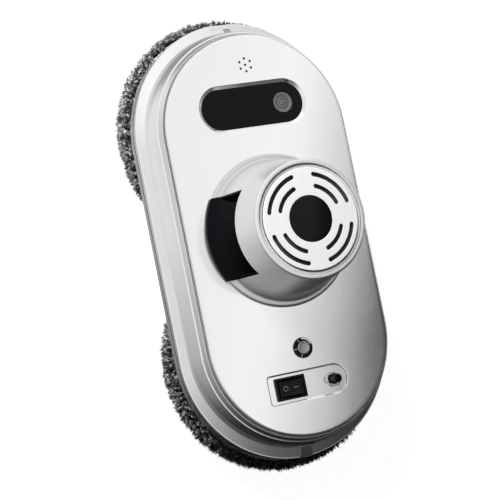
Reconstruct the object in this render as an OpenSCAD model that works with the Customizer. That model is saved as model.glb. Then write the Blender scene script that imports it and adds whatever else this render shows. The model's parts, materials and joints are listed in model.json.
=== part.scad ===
// Window cleaning robot: an oval body with a round carrying handle, which
// holds the suction fan, and two spinning microfibre pads that walk it
// across the glass. The glass is the plane Z = 0, the long axis is Y, and
// the sensor window is at the +Y end.

/* [Pads] */
// Radius of a microfibre pad
pad_r = 76; // [74:0.2:76.4]
// Gap between the two pads, which nearly touch in the middle
pad_gap = 1.2; // [1:0.1:4]
// Height of a pad, from the glass to the top of its turned-up edge
pad_h = 20; // [19:0.5:23]
// Thickness of the pad's fleece under its disc
pad_floor = 7; // [6:0.5:8]
// Rounding of the pad's outer edges
pad_edge_r = 6; // [4:0.5:7]
// Radius of the hole in the middle of a pad
pad_hole_r = 24; // [20:1:25]
// Thickness of the fleece that wraps round the disc
pad_wrap_t = 4.7; // [4:0.1:5.5]

/* [Pad discs] */
// Thickness of the hook-and-loop ring under a disc
hook_t = 1.2; // [1:0.1:1.6]
// Width of the bare band at the disc's edge, outside the hook ring
hook_inset = 2; // [1:0.5:5]
// Radius of the hook ring's hole
hook_hole_r = 27; // [26:0.5:32]
// Thickness of a disc's plate
disc_t = 4; // [3:0.2:5]
// Thickness of the disc's upright rim
disc_rim_t = 2.8; // [2:0.2:4]
// Distance from the top of a disc's rim to the top of the fleece
disc_rim_drop = 1; // [0.5:0.5:2]
// Number of ribs on a disc
disc_ribs = 8; // [6:1:12]
// Thickness of a rib
rib_t = 2; // [1.5:0.1:3]
// Height of a rib above the plate
rib_h = 4.8; // [3:0.2:5.5]
// Outer radius of a disc's hub
hub_r = 17.5; // [17:0.1:18]
// Radius of the air hole through a hub
hub_bore_r = 14; // [13.5:0.1:14.5]
// Width of the shoulder on the hub that takes the thrust
hub_shoulder = 3.5; // [3:0.1:4]

/* [Base plate] */
// Gap between the pads' fleece and the base plate
base_gap = 4; // [3.5:0.1:6]
// Distance of the base plate's edge inside the flange's edge
base_inset = 0.5; // [0.3:0.1:1]
// Distance of the body's end inside the reach of the pads
end_inset = 5.6; // [4:0.1:7]
// Thickness of the base plate's floor
base_t = 2.5; // [2:0.1:3]
// Height of the strip round the base plate that shows
strip_h = 5.5; // [5:0.1:6]
// Height of the lip inside the seam
lip_h = 3.5; // [3:0.1:4]
// Radial wall of the hub's bush
bush_t = 3; // [2.5:0.1:3.5]
// Width and thickness of the bush's flange
bush_flange = 1.2; // [1:0.1:1.5]
// Height of the bush's boss above the base plate's underside
bush_h = 7; // [6.5:0.1:7.5]

/* [Side shell] */
// Thickness of the moulded walls
wall = 2.5; // [2:0.1:3]
// Height of the dark seam between the base plate and the flange
seam_gap = 1.5; // [1.2:0.1:2]
// Radius of the flange's round ends, which are the body's widest line
flange_r = 75.2; // [75:0.1:76]
// Height of the flange's upright edge
flange_h = 4.5; // [3.5:0.1:5]
// Height of the flange with the hollow band above it
band_h = 9; // [8:0.1:10]
// Distance of the wall's foot inside the flange's edge
side_inset = 4.5; // [3.8:0.1:5]
// Distance of the shoulder line inside the wall's foot
shoulder_inset = 3.1; // [2.5:0.1:3.5]
// Depth of the shoulder line under the cover's face
shoulder_drop = 7.8; // [7:0.1:9]

/* [Top cover] */
// Height of the body from the base plate's underside to the cover's face
body_h = 38; // [38:0.1:41]
// Distance of the cover's edge inside the shoulder line
cover_inset = 3.4; // [3:0.1:4]
// Distance that each round end's centre moves in from the flange to the cover
end_slope = 3; // [2:0.1:4]
// Thickness of the cover
cover_t = 2.5; // [2.2:0.1:2.8]
// Rounding of the cover's edge
cover_edge_r = 1.8; // [1:0.1:1.9]
// Height and depth of the shadow groove under the cover's edge
cover_groove = 0.6; // [0.3:0.1:0.7]
// Width of the landing that the cover rests on
landing_w = 4.2; // [3.5:0.1:5]
// Depth of the locating skirt under the cover
skirt_h = 2.5; // [2:0.1:3]

/* [Sensor window] */
// Distance of the window's centre from the cover's end
window_inset = 48; // [47:0.5:50]
// Gap between the window's bevel and the handle's collar
window_gap = 17.2; // [15:0.1:18]
// Radius of the window's round ends
window_r = 13.4; // [12:0.1:14]
// Distance from the window's centre to the centre of each round end
window_a = 23; // [20:0.5:24]
// Depth of the window's face under the cover's face
window_drop = 1.5; // [1:0.1:1.8]
// Thickness of the window
window_t = 2.5; // [2:0.1:2.8]
// Width of the bevel round the window
window_bevel = 2.1; // [1.5:0.1:2.5]
// Place of the sensor's lens to the right of the window's centre
lens_x = 22.2; // [18:0.2:23]
// Radius of the sensor's lens
lens_r = 6.8; // [6:0.1:7.5]
// Number of steps on the lens
lens_steps = 4; // [3:1:5]

/* [Speaker] */
// Distance of the speaker's centre from the cover's end
speaker_inset = 20.6; // [20:0.2:22]
// Radius of the speaker
speaker_r = 9.5; // [8:0.1:10]
// Thickness of the speaker
speaker_t = 3.6; // [3:0.1:4]
// Radius of the ring of sound holes
sound_ring_r = 4.3; // [3.5:0.1:5]
// Radius of a sound hole
sound_hole_r = 0.65; // [0.5:0.05:0.8]
// Number of sound holes in the ring
sound_holes = 6; // [5:1:8]

/* [Start button] */
// Distance of the button's centre from the cover's end
button_inset = 57; // [56:0.2:58]
// Radius of the button's cap
button_r = 4.2; // [3.8:0.1:4.5]
// Height of the cap above the cover
button_rise = 2.1; // [1.8:0.1:2.5]
// Travel of the button
button_travel = 0.8; // [0.5:0.1:1]
// Radius of the button's bezel
bezel_r = 6.8; // [6.4:0.1:7.5]
// Height of the bezel above the cover
bezel_rise = 0.9; // [0.6:0.1:1.2]
// Thickness of the bezel's sleeve
sleeve_t = 0.8; // [0.6:0.1:1]

/* [Control panel] */
// Distance of the panel's centre line from the cover's end
panel_inset = 33.3; // [33:0.1:34]
// Place of the panel's square end
panel_left_x = -29; // [-30:0.5:-28]
// Place of the centre of the panel's round end
panel_round_x = 18; // [17:0.5:20]
// Radius of the panel's round end, half the panel's width
panel_r = 9.3; // [9:0.1:10]
// Radius of the panel's square corners
panel_corner_r = 2; // [1.5:0.1:3]
// Depth of the panel
panel_drop = 1.2; // [0.8:0.1:1.5]

/* [Rocker switch] */
// Place of the switch's centre across the body
switch_x = -13.6; // [-14:0.2:-13]
// Length of the switch's bezel
switch_l = 21.4; // [20.8:0.1:22]
// Width of the switch's bezel
switch_w = 14.8; // [14.2:0.1:15.5]
// Width of the bezel's rim outside the switch's body
switch_rim = 1; // [0.8:0.1:1.1]
// Height of the bezel above the panel
switch_rise = 1.5; // [1.2:0.1:2]
// Depth of the switch's body under its bezel
switch_depth = 14; // [12:0.5:15]
// Wall of the switch's body
switch_wall = 0.9; // [0.8:0.1:1]
// Half of the rocker's swing
rocker_tilt = 10; // [8:1:12]
// Radius of the rocker's pivot pins
rocker_pin_r = 1; // [0.8:0.1:1.2]

/* [Power socket] */
// Place of the socket across the body
socket_x = 17.3; // [17:0.1:18.5]
// Radius of the socket's barrel
socket_r = 3; // [2.8:0.1:3.2]
// Height of the barrel above the panel
socket_rise = 8; // [7:0.5:9]
// Radius of the socket's bore
socket_bore_r = 2; // [1.8:0.1:2.1]
// Depth of the socket's bore
socket_bore_h = 9; // [8:0.5:10]
// Radius of the socket's body under the cover
socket_body_r = 5; // [4.5:0.1:5.5]
// Height of the socket's body
socket_body_h = 9; // [7:0.5:10]
// Size of the nut across its corners
nut_d = 11; // [10:0.1:12]
// Height of the nut
nut_h = 2.2; // [2:0.1:2.6]

/* [Handle] */
// Place of the handle's centre along the body
handle_y = 1.8; // [0:0.2:3]
// Height of the handle above the cover
handle_h = 49.2; // [48:0.2:52]
// Radius of the handle at its foot
drum_r = 46; // [45.5:0.1:47]
// Radius of the handle at its top
drum_top_r = 38; // [37.8:0.1:38.6]
// Rounding of the handle's top edge
drum_edge_r = 1.5; // [1:0.1:2]
// Radius of the collar round the handle's foot
collar_r = 50.5; // [50:0.1:52]
// Height of the collar
collar_h = 4; // [3.4:0.1:4.5]
// Rounding of the collar's edge
collar_edge_r = 2.4; // [1.5:0.1:3]

/* [Grips] */
// Half width of a finger grip
grip_w = 27; // [25:0.5:28]
// Height of a grip's top edge above the cover
grip_h = 26; // [25:0.5:27]
// Radius of the hollow that the fingers fill
scoop_r = 14.25; // [13.8:0.05:14.6]
// Height of the middle of the hollow above the cover
scoop_h = 16.5; // [16.3:0.1:16.8]
// Distance of the hollow's floor from the handle's axis
scoop_floor_r = 38.2; // [38:0.1:38.6]
// Thickness of the grip's shell
grip_t = 2.2; // [2:0.1:2.3]
// Radius of the grip's lower lip
grip_lip_r = 51; // [50.8:0.1:51.4]
// Thickness of the cheek at each side of a grip
cheek_t = 1.6; // [1.2:0.1:2.5]

/* [Vent] */
// Radius of the vent cap
vent_r = 32.7; // [32.4:0.1:33]
// Thickness of the vent cap's plate
vent_t = 2; // [1.8:0.1:2.4]
// Height of the vent cap
vent_h = 3.7; // [3.4:0.1:4.2]
// Radius of the trim ring round the cap
trim_r = 35; // [34.6:0.1:35.2]
// Depth of the trim ring's face under the cap's face
trim_drop = 1.2; // [0.8:0.1:1.6]
// Width of an air slot
slot_w = 2.4; // [2:0.1:2.8]
// Radius of the middle of the outer slots
slot_outer_r = 28.3; // [27.8:0.1:28.6]
// Radius of the middle of the inner slots
slot_inner_r = 21.1; // [20.5:0.1:22]
// Radius of the black boss in the middle of the vent
boss_r = 14.7; // [13:0.1:15.2]
// Depth of the boss's seat
boss_seat = 1; // [0.8:0.1:1.2]
// Height of the boss's crown above the vent cap
boss_rise = 0.7; // [0.4:0.1:1]

/* [Fan] */
// Radius of the impeller
impeller_r = 28; // [24:0.5:28.5]
// Height of the impeller's blades
blade_h = 10.5; // [9:0.5:11.5]
// Thickness of a blade
blade_t = 1.2; // [1:0.1:1.6]
// Number of blades
blades = 9; // [7:1:11]
// Radius of the fan's inlet
inlet_r = 11; // [9:0.5:11.2]
// Radius of the fan motor
fan_motor_r = 17; // [15:0.5:18]
// Height of the fan motor
fan_motor_h = 17.5; // [15:0.5:18.5]
// Radius of the fan's shaft
fan_shaft_r = 1.5; // [1.2:0.1:2]

/* [Suction duct] */
// Half width of the duct
duct_r = 15; // [14.6:0.1:15]
// Height of the duct's tray
duct_h = 7; // [6:0.1:7.2]
// Thickness of the duct's walls
duct_wall = 1.5; // [1.2:0.1:1.8]
// Outer radius of the duct's spigots
spigot_r = 12.5; // [11.5:0.1:12.8]
// Height of a spigot under the duct
spigot_h = 6.5; // [5:0.1:7]

/* [Gear train] */
// Pitch of the gears, as diameter for each tooth
gear_module = 1.25; // [1.22:0.01:1.28]
// Teeth of the gear on a pad's hub
drive_teeth = 46; // [46:1:46]
// Teeth of the small gear on the idler
idler_small_teeth = 14; // [14:1:14]
// Teeth of the large gear on the idler
idler_big_teeth = 30; // [30:1:30]
// Teeth of the motor's pinion
pinion_teeth = 12; // [12:1:12]
// Gap between the flanks of meshing teeth
backlash = 0.15; // [0.1:0.01:0.25]
// Face width of the drive gear
drive_face = 5; // [4:0.1:5.2]
// Face width of the idler's large gear
idler_face = 3.2; // [2.8:0.1:3.3]
// Radius of the idler's pin
idler_pin_r = 2; // [1.6:0.1:2.5]

/* [Drive motors] */
// Radius of a drive motor
motor_r = 12.2; // [11:0.1:13]
// Height of a drive motor
motor_h = 14.5; // [12:0.5:15]
// Radius of a motor's shaft
motor_shaft_r = 1; // [0.8:0.1:1.3]
// Thickness of the plate that carries a motor
bracket_t = 2; // [1.6:0.1:2.2]

/* [Battery] */
// Radius of a battery cell
cell_r = 7.1; // [6.5:0.1:7.2]
// Length of a battery cell
cell_l = 50; // [45:1:50]
// Gap between the battery's cradle and the screw boss beside it
battery_gap = 2.6; // [1:0.1:4]
// Place of the battery's centre along the body
battery_y = -33; // [-34:0.5:-32]
// Thickness of the cradle's walls
cradle_t = 1.5; // [1.2:0.1:2]

/* [Boards] */
// Thickness of a circuit board
board_t = 1.3; // [1:0.1:1.5]
// Width of the main board
main_board_w = 34; // [30:1:36]
// Length of the main board
main_board_l = 54; // [50:1:56]
// Gap between the main board and the screw boss beside it
main_board_gap = 1.5; // [1:0.1:3]
// Place of the main board's centre along the body
main_board_y = 21; // [20:0.5:22]
// Height of the main board above the base plate's floor
main_board_rise = 17; // [14:0.5:18]

/* [Screws] */
// Radius of a screw's shank
screw_r = 1.4; // [1.2:0.1:1.6]
// Radius of a screw's head
screw_head_r = 2.8; // [2.4:0.1:3]
// Height of a screw's head
screw_head_h = 2; // [1.8:0.1:2.2]
// Radius of a screw boss
boss_post_r = 4; // [3.6:0.1:4.2]

/* [Rope bar] */
// Radius of the steel bar for the safety rope
rope_bar_r = 1.25; // [1:0.05:1.5]
// Width of the notch that the bar crosses
rope_notch_w = 10; // [9:0.5:12]
// Depth of the notch into the flange
rope_notch_d = 6; // [5.5:0.1:6.5]

/* [Clearances] */
// Running clearance of a shaft in its bore
run_gap = 0.05; // [0.03:0.01:0.08]
// Clearance between parts that drop into each other
fit_gap = 0.1; // [0.05:0.01:0.15]
// Gap at rest between a moving part and what it passes
pass_gap = 0.3; // [0.2:0.05:0.4]

/* [Hidden] */
$fn = 96;

// Overrun of every cut past the face that it opens
over = 1;

// Plan of the body
pad_y = pad_r + pad_gap / 2;
base_r = flange_r - base_inset;
side_r = flange_r - side_inset;
shoulder_r = side_r - shoulder_inset;
cover_r = shoulder_r - cover_inset;
lip_r = flange_r - wall - pass_gap;

// The body is as long as the pads' reach asks, or the handle and the window
cover_least_end = handle_y + collar_r + window_gap + window_bevel + window_r + window_inset;
body_least_end = cover_least_end + end_slope + flange_r - cover_r;
flange_a = max(pad_y + pad_r - end_inset, body_least_end) - flange_r;
cover_a = flange_a - end_slope;
cover_end = cover_a + cover_r;
window_y = cover_end - window_inset;
speaker_y = cover_end - speaker_inset;
button_y = button_inset - cover_end;
panel_y = panel_inset - cover_end;

// Heights from the glass up
disc_z = pad_floor + hook_t;
disc_rim_top = pad_h - disc_rim_drop;
base_z = pad_h + base_gap;
base_floor = base_z + base_t;
flange_z = base_z + strip_h + seam_gap;
side_z = flange_z + band_h;
cover_z = base_z + body_h;
cover_under = cover_z - cover_t;
shoulder_z = cover_z - shoulder_drop;
handle_top = cover_z + handle_h;

// Disc, hub and gears
disc_r = pad_r - pad_wrap_t - pass_gap;
hub_shoulder_r = hub_r + hub_shoulder;
bush_top = base_z + bush_h;
bush_r = hub_r + run_gap + bush_t;
drive_z = bush_top + pass_gap;
hub_top = drive_z + drive_face;
idler_z = hub_top + pass_gap;
idler_top = idler_z + idler_face;
bracket_z = idler_top + pass_gap;
motor_z = bracket_z + bracket_t;
drive_pitch_r = gear_module * drive_teeth / 2;
small_pitch_r = gear_module * idler_small_teeth / 2;
big_pitch_r = gear_module * idler_big_teeth / 2;
pinion_pitch_r = gear_module * pinion_teeth / 2;
idler_dir = -20;
motor_dir = -90;
idler_dist = drive_pitch_r + small_pitch_r;
motor_dist = big_pitch_r + pinion_pitch_r;
idler_x = idler_dist * cos(idler_dir);
idler_y = pad_y + idler_dist * sin(idler_dir);
motor_x = idler_x + motor_dist * cos(motor_dir);
motor_y = idler_y + motor_dist * sin(motor_dir);

// Shares of a gear's module: a stubbed addendum, and the dedendum
addendum_share = 0.8;
dedendum_share = 1.15;
pressure_angle = 20;

// Duct
duct_z = bracket_z;
duct_top = duct_z + duct_h;
duct_lid_top = duct_top + duct_wall;
spigot_bore_r = spigot_r - duct_wall;
duct_post_r = hub_shoulder;
duct_post_y = pad_y / 4;

// Fan, from the cover up
inlet_plate_r = 35;
inlet_plate_t = 2;
blade_gap = 1.5;
fan_post_r = 2;
fan_post_pitch_r = inlet_plate_r - fan_post_r;
fan_hole_r = inlet_plate_r - 2 * fan_post_r - wall;
inlet_plate_top = cover_z + inlet_plate_t;
blade_z = inlet_plate_top + blade_gap;
impeller_plate_t = 1.5;
impeller_top = blade_z + blade_h + impeller_plate_t;
impeller_hub_r = 6;
mount_z = impeller_top + wall;
mount_t = 2.2;
fan_motor_z = mount_z + mount_t;
fan_motor_top = fan_motor_z + fan_motor_h;

// Handle
function drum_at(z) = drum_r - (drum_r - drum_top_r) * (z - cover_z) / handle_h;
vent_z = handle_top - vent_h;
ledge_t = 2;
ledge_w = 3;
foam_t = 3;
handle_screw_inset = 6.5;
handle_screw_r = drum_r - handle_screw_inset;
handle_screw_angles = [60, 120, 240, 300];
handle_boss_h = 11;

// Case screws
case_screw_inset = 7.2;
case_screw_x = side_r - case_screw_inset;
case_screw_y = 20;
case_end_angle = 50;
case_end_inset = 6.7;
case_end_r = side_r - case_end_inset;
screw_pad_h = 5;
screw_grip_h = 10;
case_screws_xy = [
    for (sx = [-1, 1], sy = [-1, 1]) [sx * case_screw_x, sy * case_screw_y],
    for (sx = [-1, 1], sy = [-1, 1])
        [sx * case_end_r * cos(case_end_angle), sy * (cover_a + case_end_r * sin(case_end_angle))]
];

// Sensor boards and the two small boards that hang from the cover
window_seat_z = cover_z - window_drop - window_t;
tub_under = window_seat_z - wall;
sensor_board_top = tub_under - 2 * board_t;
sensor_post_x = window_a / 2;
sensor_board_w = 2 * window_a + window_r / 2;
sensor_board_l = window_r;
sleeve_r = button_r + fit_gap + sleeve_t;
sleeve_drop = 2;
sleeve_under = cover_under - sleeve_drop;
button_flange_t = 0.8;
button_under = sleeve_under - fit_gap - button_flange_t;
tact_h = 4;
tact_w = 6;
control_board_top = button_under - button_travel - fit_gap - tact_h;
control_board_w = 28;
control_board_l = 14;
control_post_x = 10;

// Control panel and rocker switch
panel_z = cover_z - panel_drop;
panel_under = panel_z - cover_t;
cavity_l = switch_l - 2 * switch_rim - 2 * switch_wall;
cavity_w = switch_w - 2 * switch_rim - 2 * switch_wall;
switch_floor = 1.5;
rocker_gap = 0.2;
rocker_top = 1.9;
pivot_z = panel_z + switch_rise - rocker_top - rocker_gap;
pin_cover = 0.1;
terminal_w = 4.8;
terminal_t = 0.8;
terminal_h = 6;

// Shares of the rocker's half length and depth at the corners of its outline
rocker_end_share = 0.93;
rocker_end_drop_share = 0.6;
rocker_foot_share = 0.4;
rocker_foot_drop_share = 1.9;

// Boards, battery, sensors and the rest
battery_w = 4 * cell_r + 3 * fit_gap;
battery_x = case_screw_x - boss_post_r - battery_gap - cradle_t - battery_w / 2;
main_board_x = -(case_screw_x - boss_post_r - main_board_gap - main_board_w / 2);
capacitor_place_shares = [[-0.25, 0.22], [-0.25, -0.02]];
capacitor_r = 4;
capacitor_h = 9;
chip_w = 7;
chip_h = 1.6;
chip_place_shares = [[0.2, 0.2], [0.2, -0.05], [0.05, 0.38]];
edge_sensor_r = 4.5;
edge_sensor_inset = 3.4;
edge_sensor_x = lip_r - wall - edge_sensor_inset - edge_sensor_r;
outer_slot_half = 29.5;
inner_slot_half = 23.7;
blade_lean = 35;
fan_nose_r = 5;
fan_shaft_share = 0.6;
fan_shaft_top = fan_motor_z + fan_shaft_share * fan_motor_h;
mount_slot_half = 27;
rope_x = 0;

// Colours
pearl = [0.93, 0.93, 0.94];
gloss_black = [0.03, 0.03, 0.035];
matt_black = [0.09, 0.09, 0.1];
grey = [0.55, 0.56, 0.58];
steel = [0.72, 0.73, 0.75];
board_green = [0.07, 0.32, 0.18];
nylon = [0.9, 0.88, 0.82];
brass = [0.78, 0.62, 0.3];
fleece = [0.25, 0.25, 0.26];
cell_blue = [0.12, 0.3, 0.62];

// Points of an arc, from one angle to another in a number of steps
function arc_points(cx, cy, r, from, to, steps) =
    [for (i = [0:steps]) let (t = from + (to - from) * i / steps) [cx + r * cos(t), cy + r * sin(t)]];

// A flat stadium with its long axis along Y
module stadium(r, a) {
    square([2 * r, 2 * a], center = true);
    for (s = [-1, 1])
        translate([0, s * a])
            circle(r);
}

module stadium_block(r, a, from, to) {
    translate([0, 0, from])
        linear_extrude(to - from)
            stadium(r, a);
}

// Carries a section, drawn in X and Z, round a stadium
module round_stadium(a) {
    for (s = [0, 180])
        rotate([0, 0, s]) {
            translate([0, a, 0])
                rotate_extrude(angle = 180)
                    children();
            rotate([90, 0, 0])
                linear_extrude(2 * a, center = true)
                    children();
        }
}

module tube(r_out, r_in, from, to) {
    translate([0, 0, from])
        difference() {
            cylinder(r = r_out, h = to - from);
            translate([0, 0, -over])
                cylinder(r = r_in, h = to - from + 2 * over);
        }
}

module post(r, from, to) {
    translate([0, 0, from])
        cylinder(r = r, h = to - from);
}

// One end's half of the part is the other's turned half a turn
module rear() {
    rotate([0, 0, 180])
        children();
}

// Involute gear outline. The flank between the base or root circle and the
// tip is taken at three points.
function inv_angle(base, r) = r <= base ? 0 : sqrt(r * r / (base * base) - 1) * 180 / PI - acos(base / r);
function flank(teeth, r) =
    let (
        pitch = gear_module * teeth / 2,
        base = pitch * cos(pressure_angle),
        half = 90 / teeth - backlash / pitch * 90 / PI
    ) half + inv_angle(base, pitch) - inv_angle(base, r);
function gear_points(teeth) =
    let (
        pitch = gear_module * teeth / 2,
        root = pitch - dedendum_share * gear_module,
        tip = pitch + addendum_share * gear_module,
        low = max(root, pitch * cos(pressure_angle)),
        radii = [root, low + (pitch - low) / 2, pitch + (tip - pitch) / 3, tip]
    ) [
        for (i = [0:teeth - 1], side = [-1, 1], k = [0:3])
            let (r = radii[side < 0 ? k : 3 - k], t = i * 360 / teeth + side * flank(teeth, r))
                [r * cos(t), r * sin(t)]
    ];
module gear(teeth, from, to) {
    translate([0, 0, from])
        linear_extrude(to - from)
            polygon(gear_points(teeth));
}
// Turn of a gear that meshes with another in a given direction from it
function mesh_turn(dir, teeth_a, turn_a, teeth_b) =
    dir + 180 - 360 / teeth_b * (0.5 - (dir - turn_a) * teeth_a / 360);
idler_turn = mesh_turn(idler_dir, drive_teeth, 0, idler_small_teeth);
pinion_turn = mesh_turn(motor_dir, idler_big_teeth, idler_turn, pinion_teeth);

// Pads and what turns with them, drawn about the pad's own axis

module pad_shape() {
    inner_r = pad_r - pad_wrap_t;
    bottom = arc_points(pad_r - pad_edge_r, pad_edge_r, pad_edge_r, -90, 0, 5);
    top_r = pad_wrap_t / 2;
    top = arc_points(pad_r - top_r, pad_h - top_r, top_r, 0, 180, 6);
    color(fleece)
        rotate_extrude()
            polygon(concat(
                [[pad_hole_r, 0]], bottom, top,
                [[inner_r, pad_floor], [pad_hole_r, pad_floor]]));
}

module hook_ring_shape() {
    color(matt_black)
        tube(disc_r - hook_inset, hook_hole_r, pad_floor, disc_z);
}

module pad_disc_shape() {
    plate_top = disc_z + disc_t;
    color(nylon)
        difference() {
            union() {
                post(disc_r, disc_z, plate_top);
                tube(disc_r, disc_r - disc_rim_t, disc_z, disc_rim_top);
                post(hub_shoulder_r, disc_z, base_z - bush_flange - pass_gap);
                post(hub_r, disc_z, hub_top);
                for (i = [0:disc_ribs - 1])
                    rotate([0, 0, i * 360 / disc_ribs])
                        translate([hub_r, -rib_t / 2, disc_z])
                            cube([disc_r - hub_r - disc_rim_t / 2, rib_t, disc_t + rib_h]);
            }
            post(hub_bore_r, disc_z - over, hub_top + over);
        }
}

module drive_gear_shape() {
    color(brass)
        difference() {
            gear(drive_teeth, drive_z, hub_top);
            post(hub_r, drive_z - over, hub_top + over);
        }
}

module hub_bush_shape() {
    color(grey)
        difference() {
            union() {
                post(bush_r, base_z - bush_flange, bush_top);
                post(bush_r + bush_flange, base_z - bush_flange, base_z);
            }
            post(hub_r + run_gap, base_z - over - bush_flange, bush_top + over);
        }
}

module idler_gear_shape() {
    color(nylon)
        translate([idler_x, idler_y, 0])
            difference() {
                rotate([0, 0, idler_turn]) {
                    gear(idler_small_teeth, drive_z, idler_z);
                    gear(idler_big_teeth, idler_z, idler_top);
                }
                post(idler_pin_r + run_gap, drive_z - over, idler_top + over);
            }
}

module idler_pin_shape() {
    color(steel)
        translate([idler_x, idler_y, 0])
            post(idler_pin_r, base_floor, motor_z);
}

module pinion_shape() {
    color(steel)
        translate([motor_x, motor_y, 0]) {
            rotate([0, 0, pinion_turn])
                gear(pinion_teeth, idler_z, idler_top);
            post(motor_shaft_r, idler_z, motor_z + motor_h / 2);
        }
}

module motor_shape() {
    color(grey)
        translate([motor_x, motor_y, 0])
            difference() {
                union() {
                    post(motor_r, motor_z, motor_z + motor_h);
                    post(3 * motor_shaft_r, motor_z - bracket_t + fit_gap, motor_z);
                }
                post(motor_shaft_r + run_gap, motor_z - over - bracket_t, motor_z + motor_h / 2 + pass_gap);
            }
}

module bracket_shape() {
    post_x = motor_r;
    post_y = motor_y - motor_r;
    arm_w = 4 * idler_pin_r;
    color(steel)
        difference() {
            union() {
                translate([motor_x, motor_y, 0])
                    post(motor_r + bracket_t, bracket_z, motor_z);
                translate([motor_x - arm_w / 2, motor_y, bracket_z])
                    cube([arm_w, motor_dist, bracket_t]);
                translate([idler_x, idler_y, 0])
                    post(arm_w / 2, bracket_z, motor_z);
                for (s = [-1, 1])
                    translate([motor_x + s * post_x, post_y, 0])
                        post(bracket_t + wall / 2, base_floor, bracket_z + bracket_t);
            }
            translate([motor_x, motor_y, 0])
                post(3 * motor_shaft_r + fit_gap, bracket_z - over, motor_z + over);
            translate([idler_x, idler_y, 0])
                post(idler_pin_r, bracket_z - over, motor_z + over);
        }
}

module front_pad() { translate([0, pad_y, 0]) pad_shape(); }
module rear_pad() { rear() front_pad(); }
module front_hook_ring() { translate([0, pad_y, 0]) hook_ring_shape(); }
module rear_hook_ring() { rear() front_hook_ring(); }
module front_pad_disc() { translate([0, pad_y, 0]) pad_disc_shape(); }
module rear_pad_disc() { rear() front_pad_disc(); }
module front_drive_gear() { translate([0, pad_y, 0]) drive_gear_shape(); }
module rear_drive_gear() { rear() front_drive_gear(); }
module front_hub_bush() { translate([0, pad_y, 0]) hub_bush_shape(); }
module rear_hub_bush() { rear() front_hub_bush(); }
module front_idler_gear() { idler_gear_shape(); }
module rear_idler_gear() { rear() idler_gear_shape(); }
module front_idler_pin() { idler_pin_shape(); }
module rear_idler_pin() { rear() idler_pin_shape(); }
module front_pinion() { pinion_shape(); }
module rear_pinion() { rear() pinion_shape(); }
module front_motor() { motor_shape(); }
module rear_motor() { rear() motor_shape(); }
module front_gear_bracket() { bracket_shape(); }
module rear_gear_bracket() { rear() bracket_shape(); }

// Casings

module screw_places() {
    for (p = case_screws_xy)
        translate([p[0], p[1], 0])
            children();
}

module base_plate() {
    lip_top = flange_z + lip_h;
    boss_r_out = bush_r + wall;
    color(pearl)
        difference() {
            union() {
                stadium_block(base_r, flange_a, base_z, base_floor);
                difference() {
                    union() {
                        stadium_block(base_r, flange_a, base_z, base_z + strip_h);
                        stadium_block(lip_r, flange_a, base_z, lip_top);
                    }
                    stadium_block(lip_r - wall, flange_a, base_floor, lip_top + over);
                }
                for (s = [-1, 1])
                    translate([0, s * pad_y, 0])
                        post(boss_r_out, base_z, bush_top);
                screw_places()
                    post(boss_post_r, base_z, base_z + screw_pad_h);
                for (s = [-1, 1])
                    translate([0, s * duct_post_y, 0])
                        post(duct_post_r, base_z, duct_z);
                for (dx = [-1, 1], dy = [-1, 1])
                    translate([
                        main_board_x + dx * (main_board_w / 2 - boss_post_r),
                        main_board_y + dy * (main_board_l / 2 - boss_post_r), 0])
                        post(boss_post_r - wall / 2, base_z, base_floor + main_board_rise);
            }
            for (s = [-1, 1])
                translate([0, s * pad_y, 0])
                    post(bush_r, base_z - over, bush_top + over);
            screw_places() {
                post(screw_r + run_gap, base_z - over, base_z + screw_pad_h + over);
                post(screw_head_r + fit_gap, base_z - over, base_z + screw_head_h);
            }
            edge_sensor_places()
                post(edge_sensor_r + fit_gap, base_z - over, base_floor + over);
            rope_block(pass_gap);
        }
}

module side_shell() {
    inner_flange_r = flange_r - wall;
    web_r = side_r - wall - (flange_a - cover_a) - over;
    landing_r = cover_r + cover_groove;
    boss_top = base_z + screw_pad_h + screw_grip_h;
    color(pearl)
        difference() {
            union() {
                // Flange, hollow band and the web that joins it to the wall
                round_stadium(flange_a)
                    polygon([
                        [inner_flange_r, flange_z],
                        [flange_r, flange_z],
                        [flange_r, flange_z + flange_h],
                        [flange_r - (flange_r - side_r) / 2, flange_z + flange_h + (band_h - flange_h) / 3],
                        [side_r, side_z],
                        [web_r, side_z],
                        [web_r, side_z - wall],
                        [inner_flange_r - wall, side_z - wall],
                        [inner_flange_r, flange_z + flange_h]
                    ]);
                // Wall, shoulder and landing
                round_stadium(cover_a)
                    polygon([
                        [side_r, side_z],
                        [shoulder_r, shoulder_z],
                        [landing_r, cover_under],
                        [landing_r - landing_w, cover_under],
                        [landing_r - landing_w, cover_under - wall],
                        [shoulder_r - wall, shoulder_z - wall / 2],
                        [side_r - wall, side_z],
                        [side_r - wall, side_z - wall],
                        [side_r, side_z - wall]
                    ]);
                // Screw bosses, which meet the web
                screw_places()
                    post(boss_post_r, base_z + screw_pad_h, boss_top);
                rope_block(0);
            }
            screw_places()
                post(screw_r + run_gap, base_z, boss_top - wall);
            rope_notch();
            rope_bar_at(rope_bar_r + fit_gap);
        }
}

module cover_plate() {
    r = cover_r;
    edge = arc_points(r - cover_edge_r, cover_z - cover_edge_r, cover_edge_r, 0, 90, 5);
    round_stadium(cover_a)
        polygon(concat(
            [[0, cover_under],
             [r - cover_groove, cover_under],
             [r - cover_groove, cover_under + cover_groove],
             [r, cover_under + cover_groove]],
            edge, [[0, cover_z]]));
}

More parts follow.
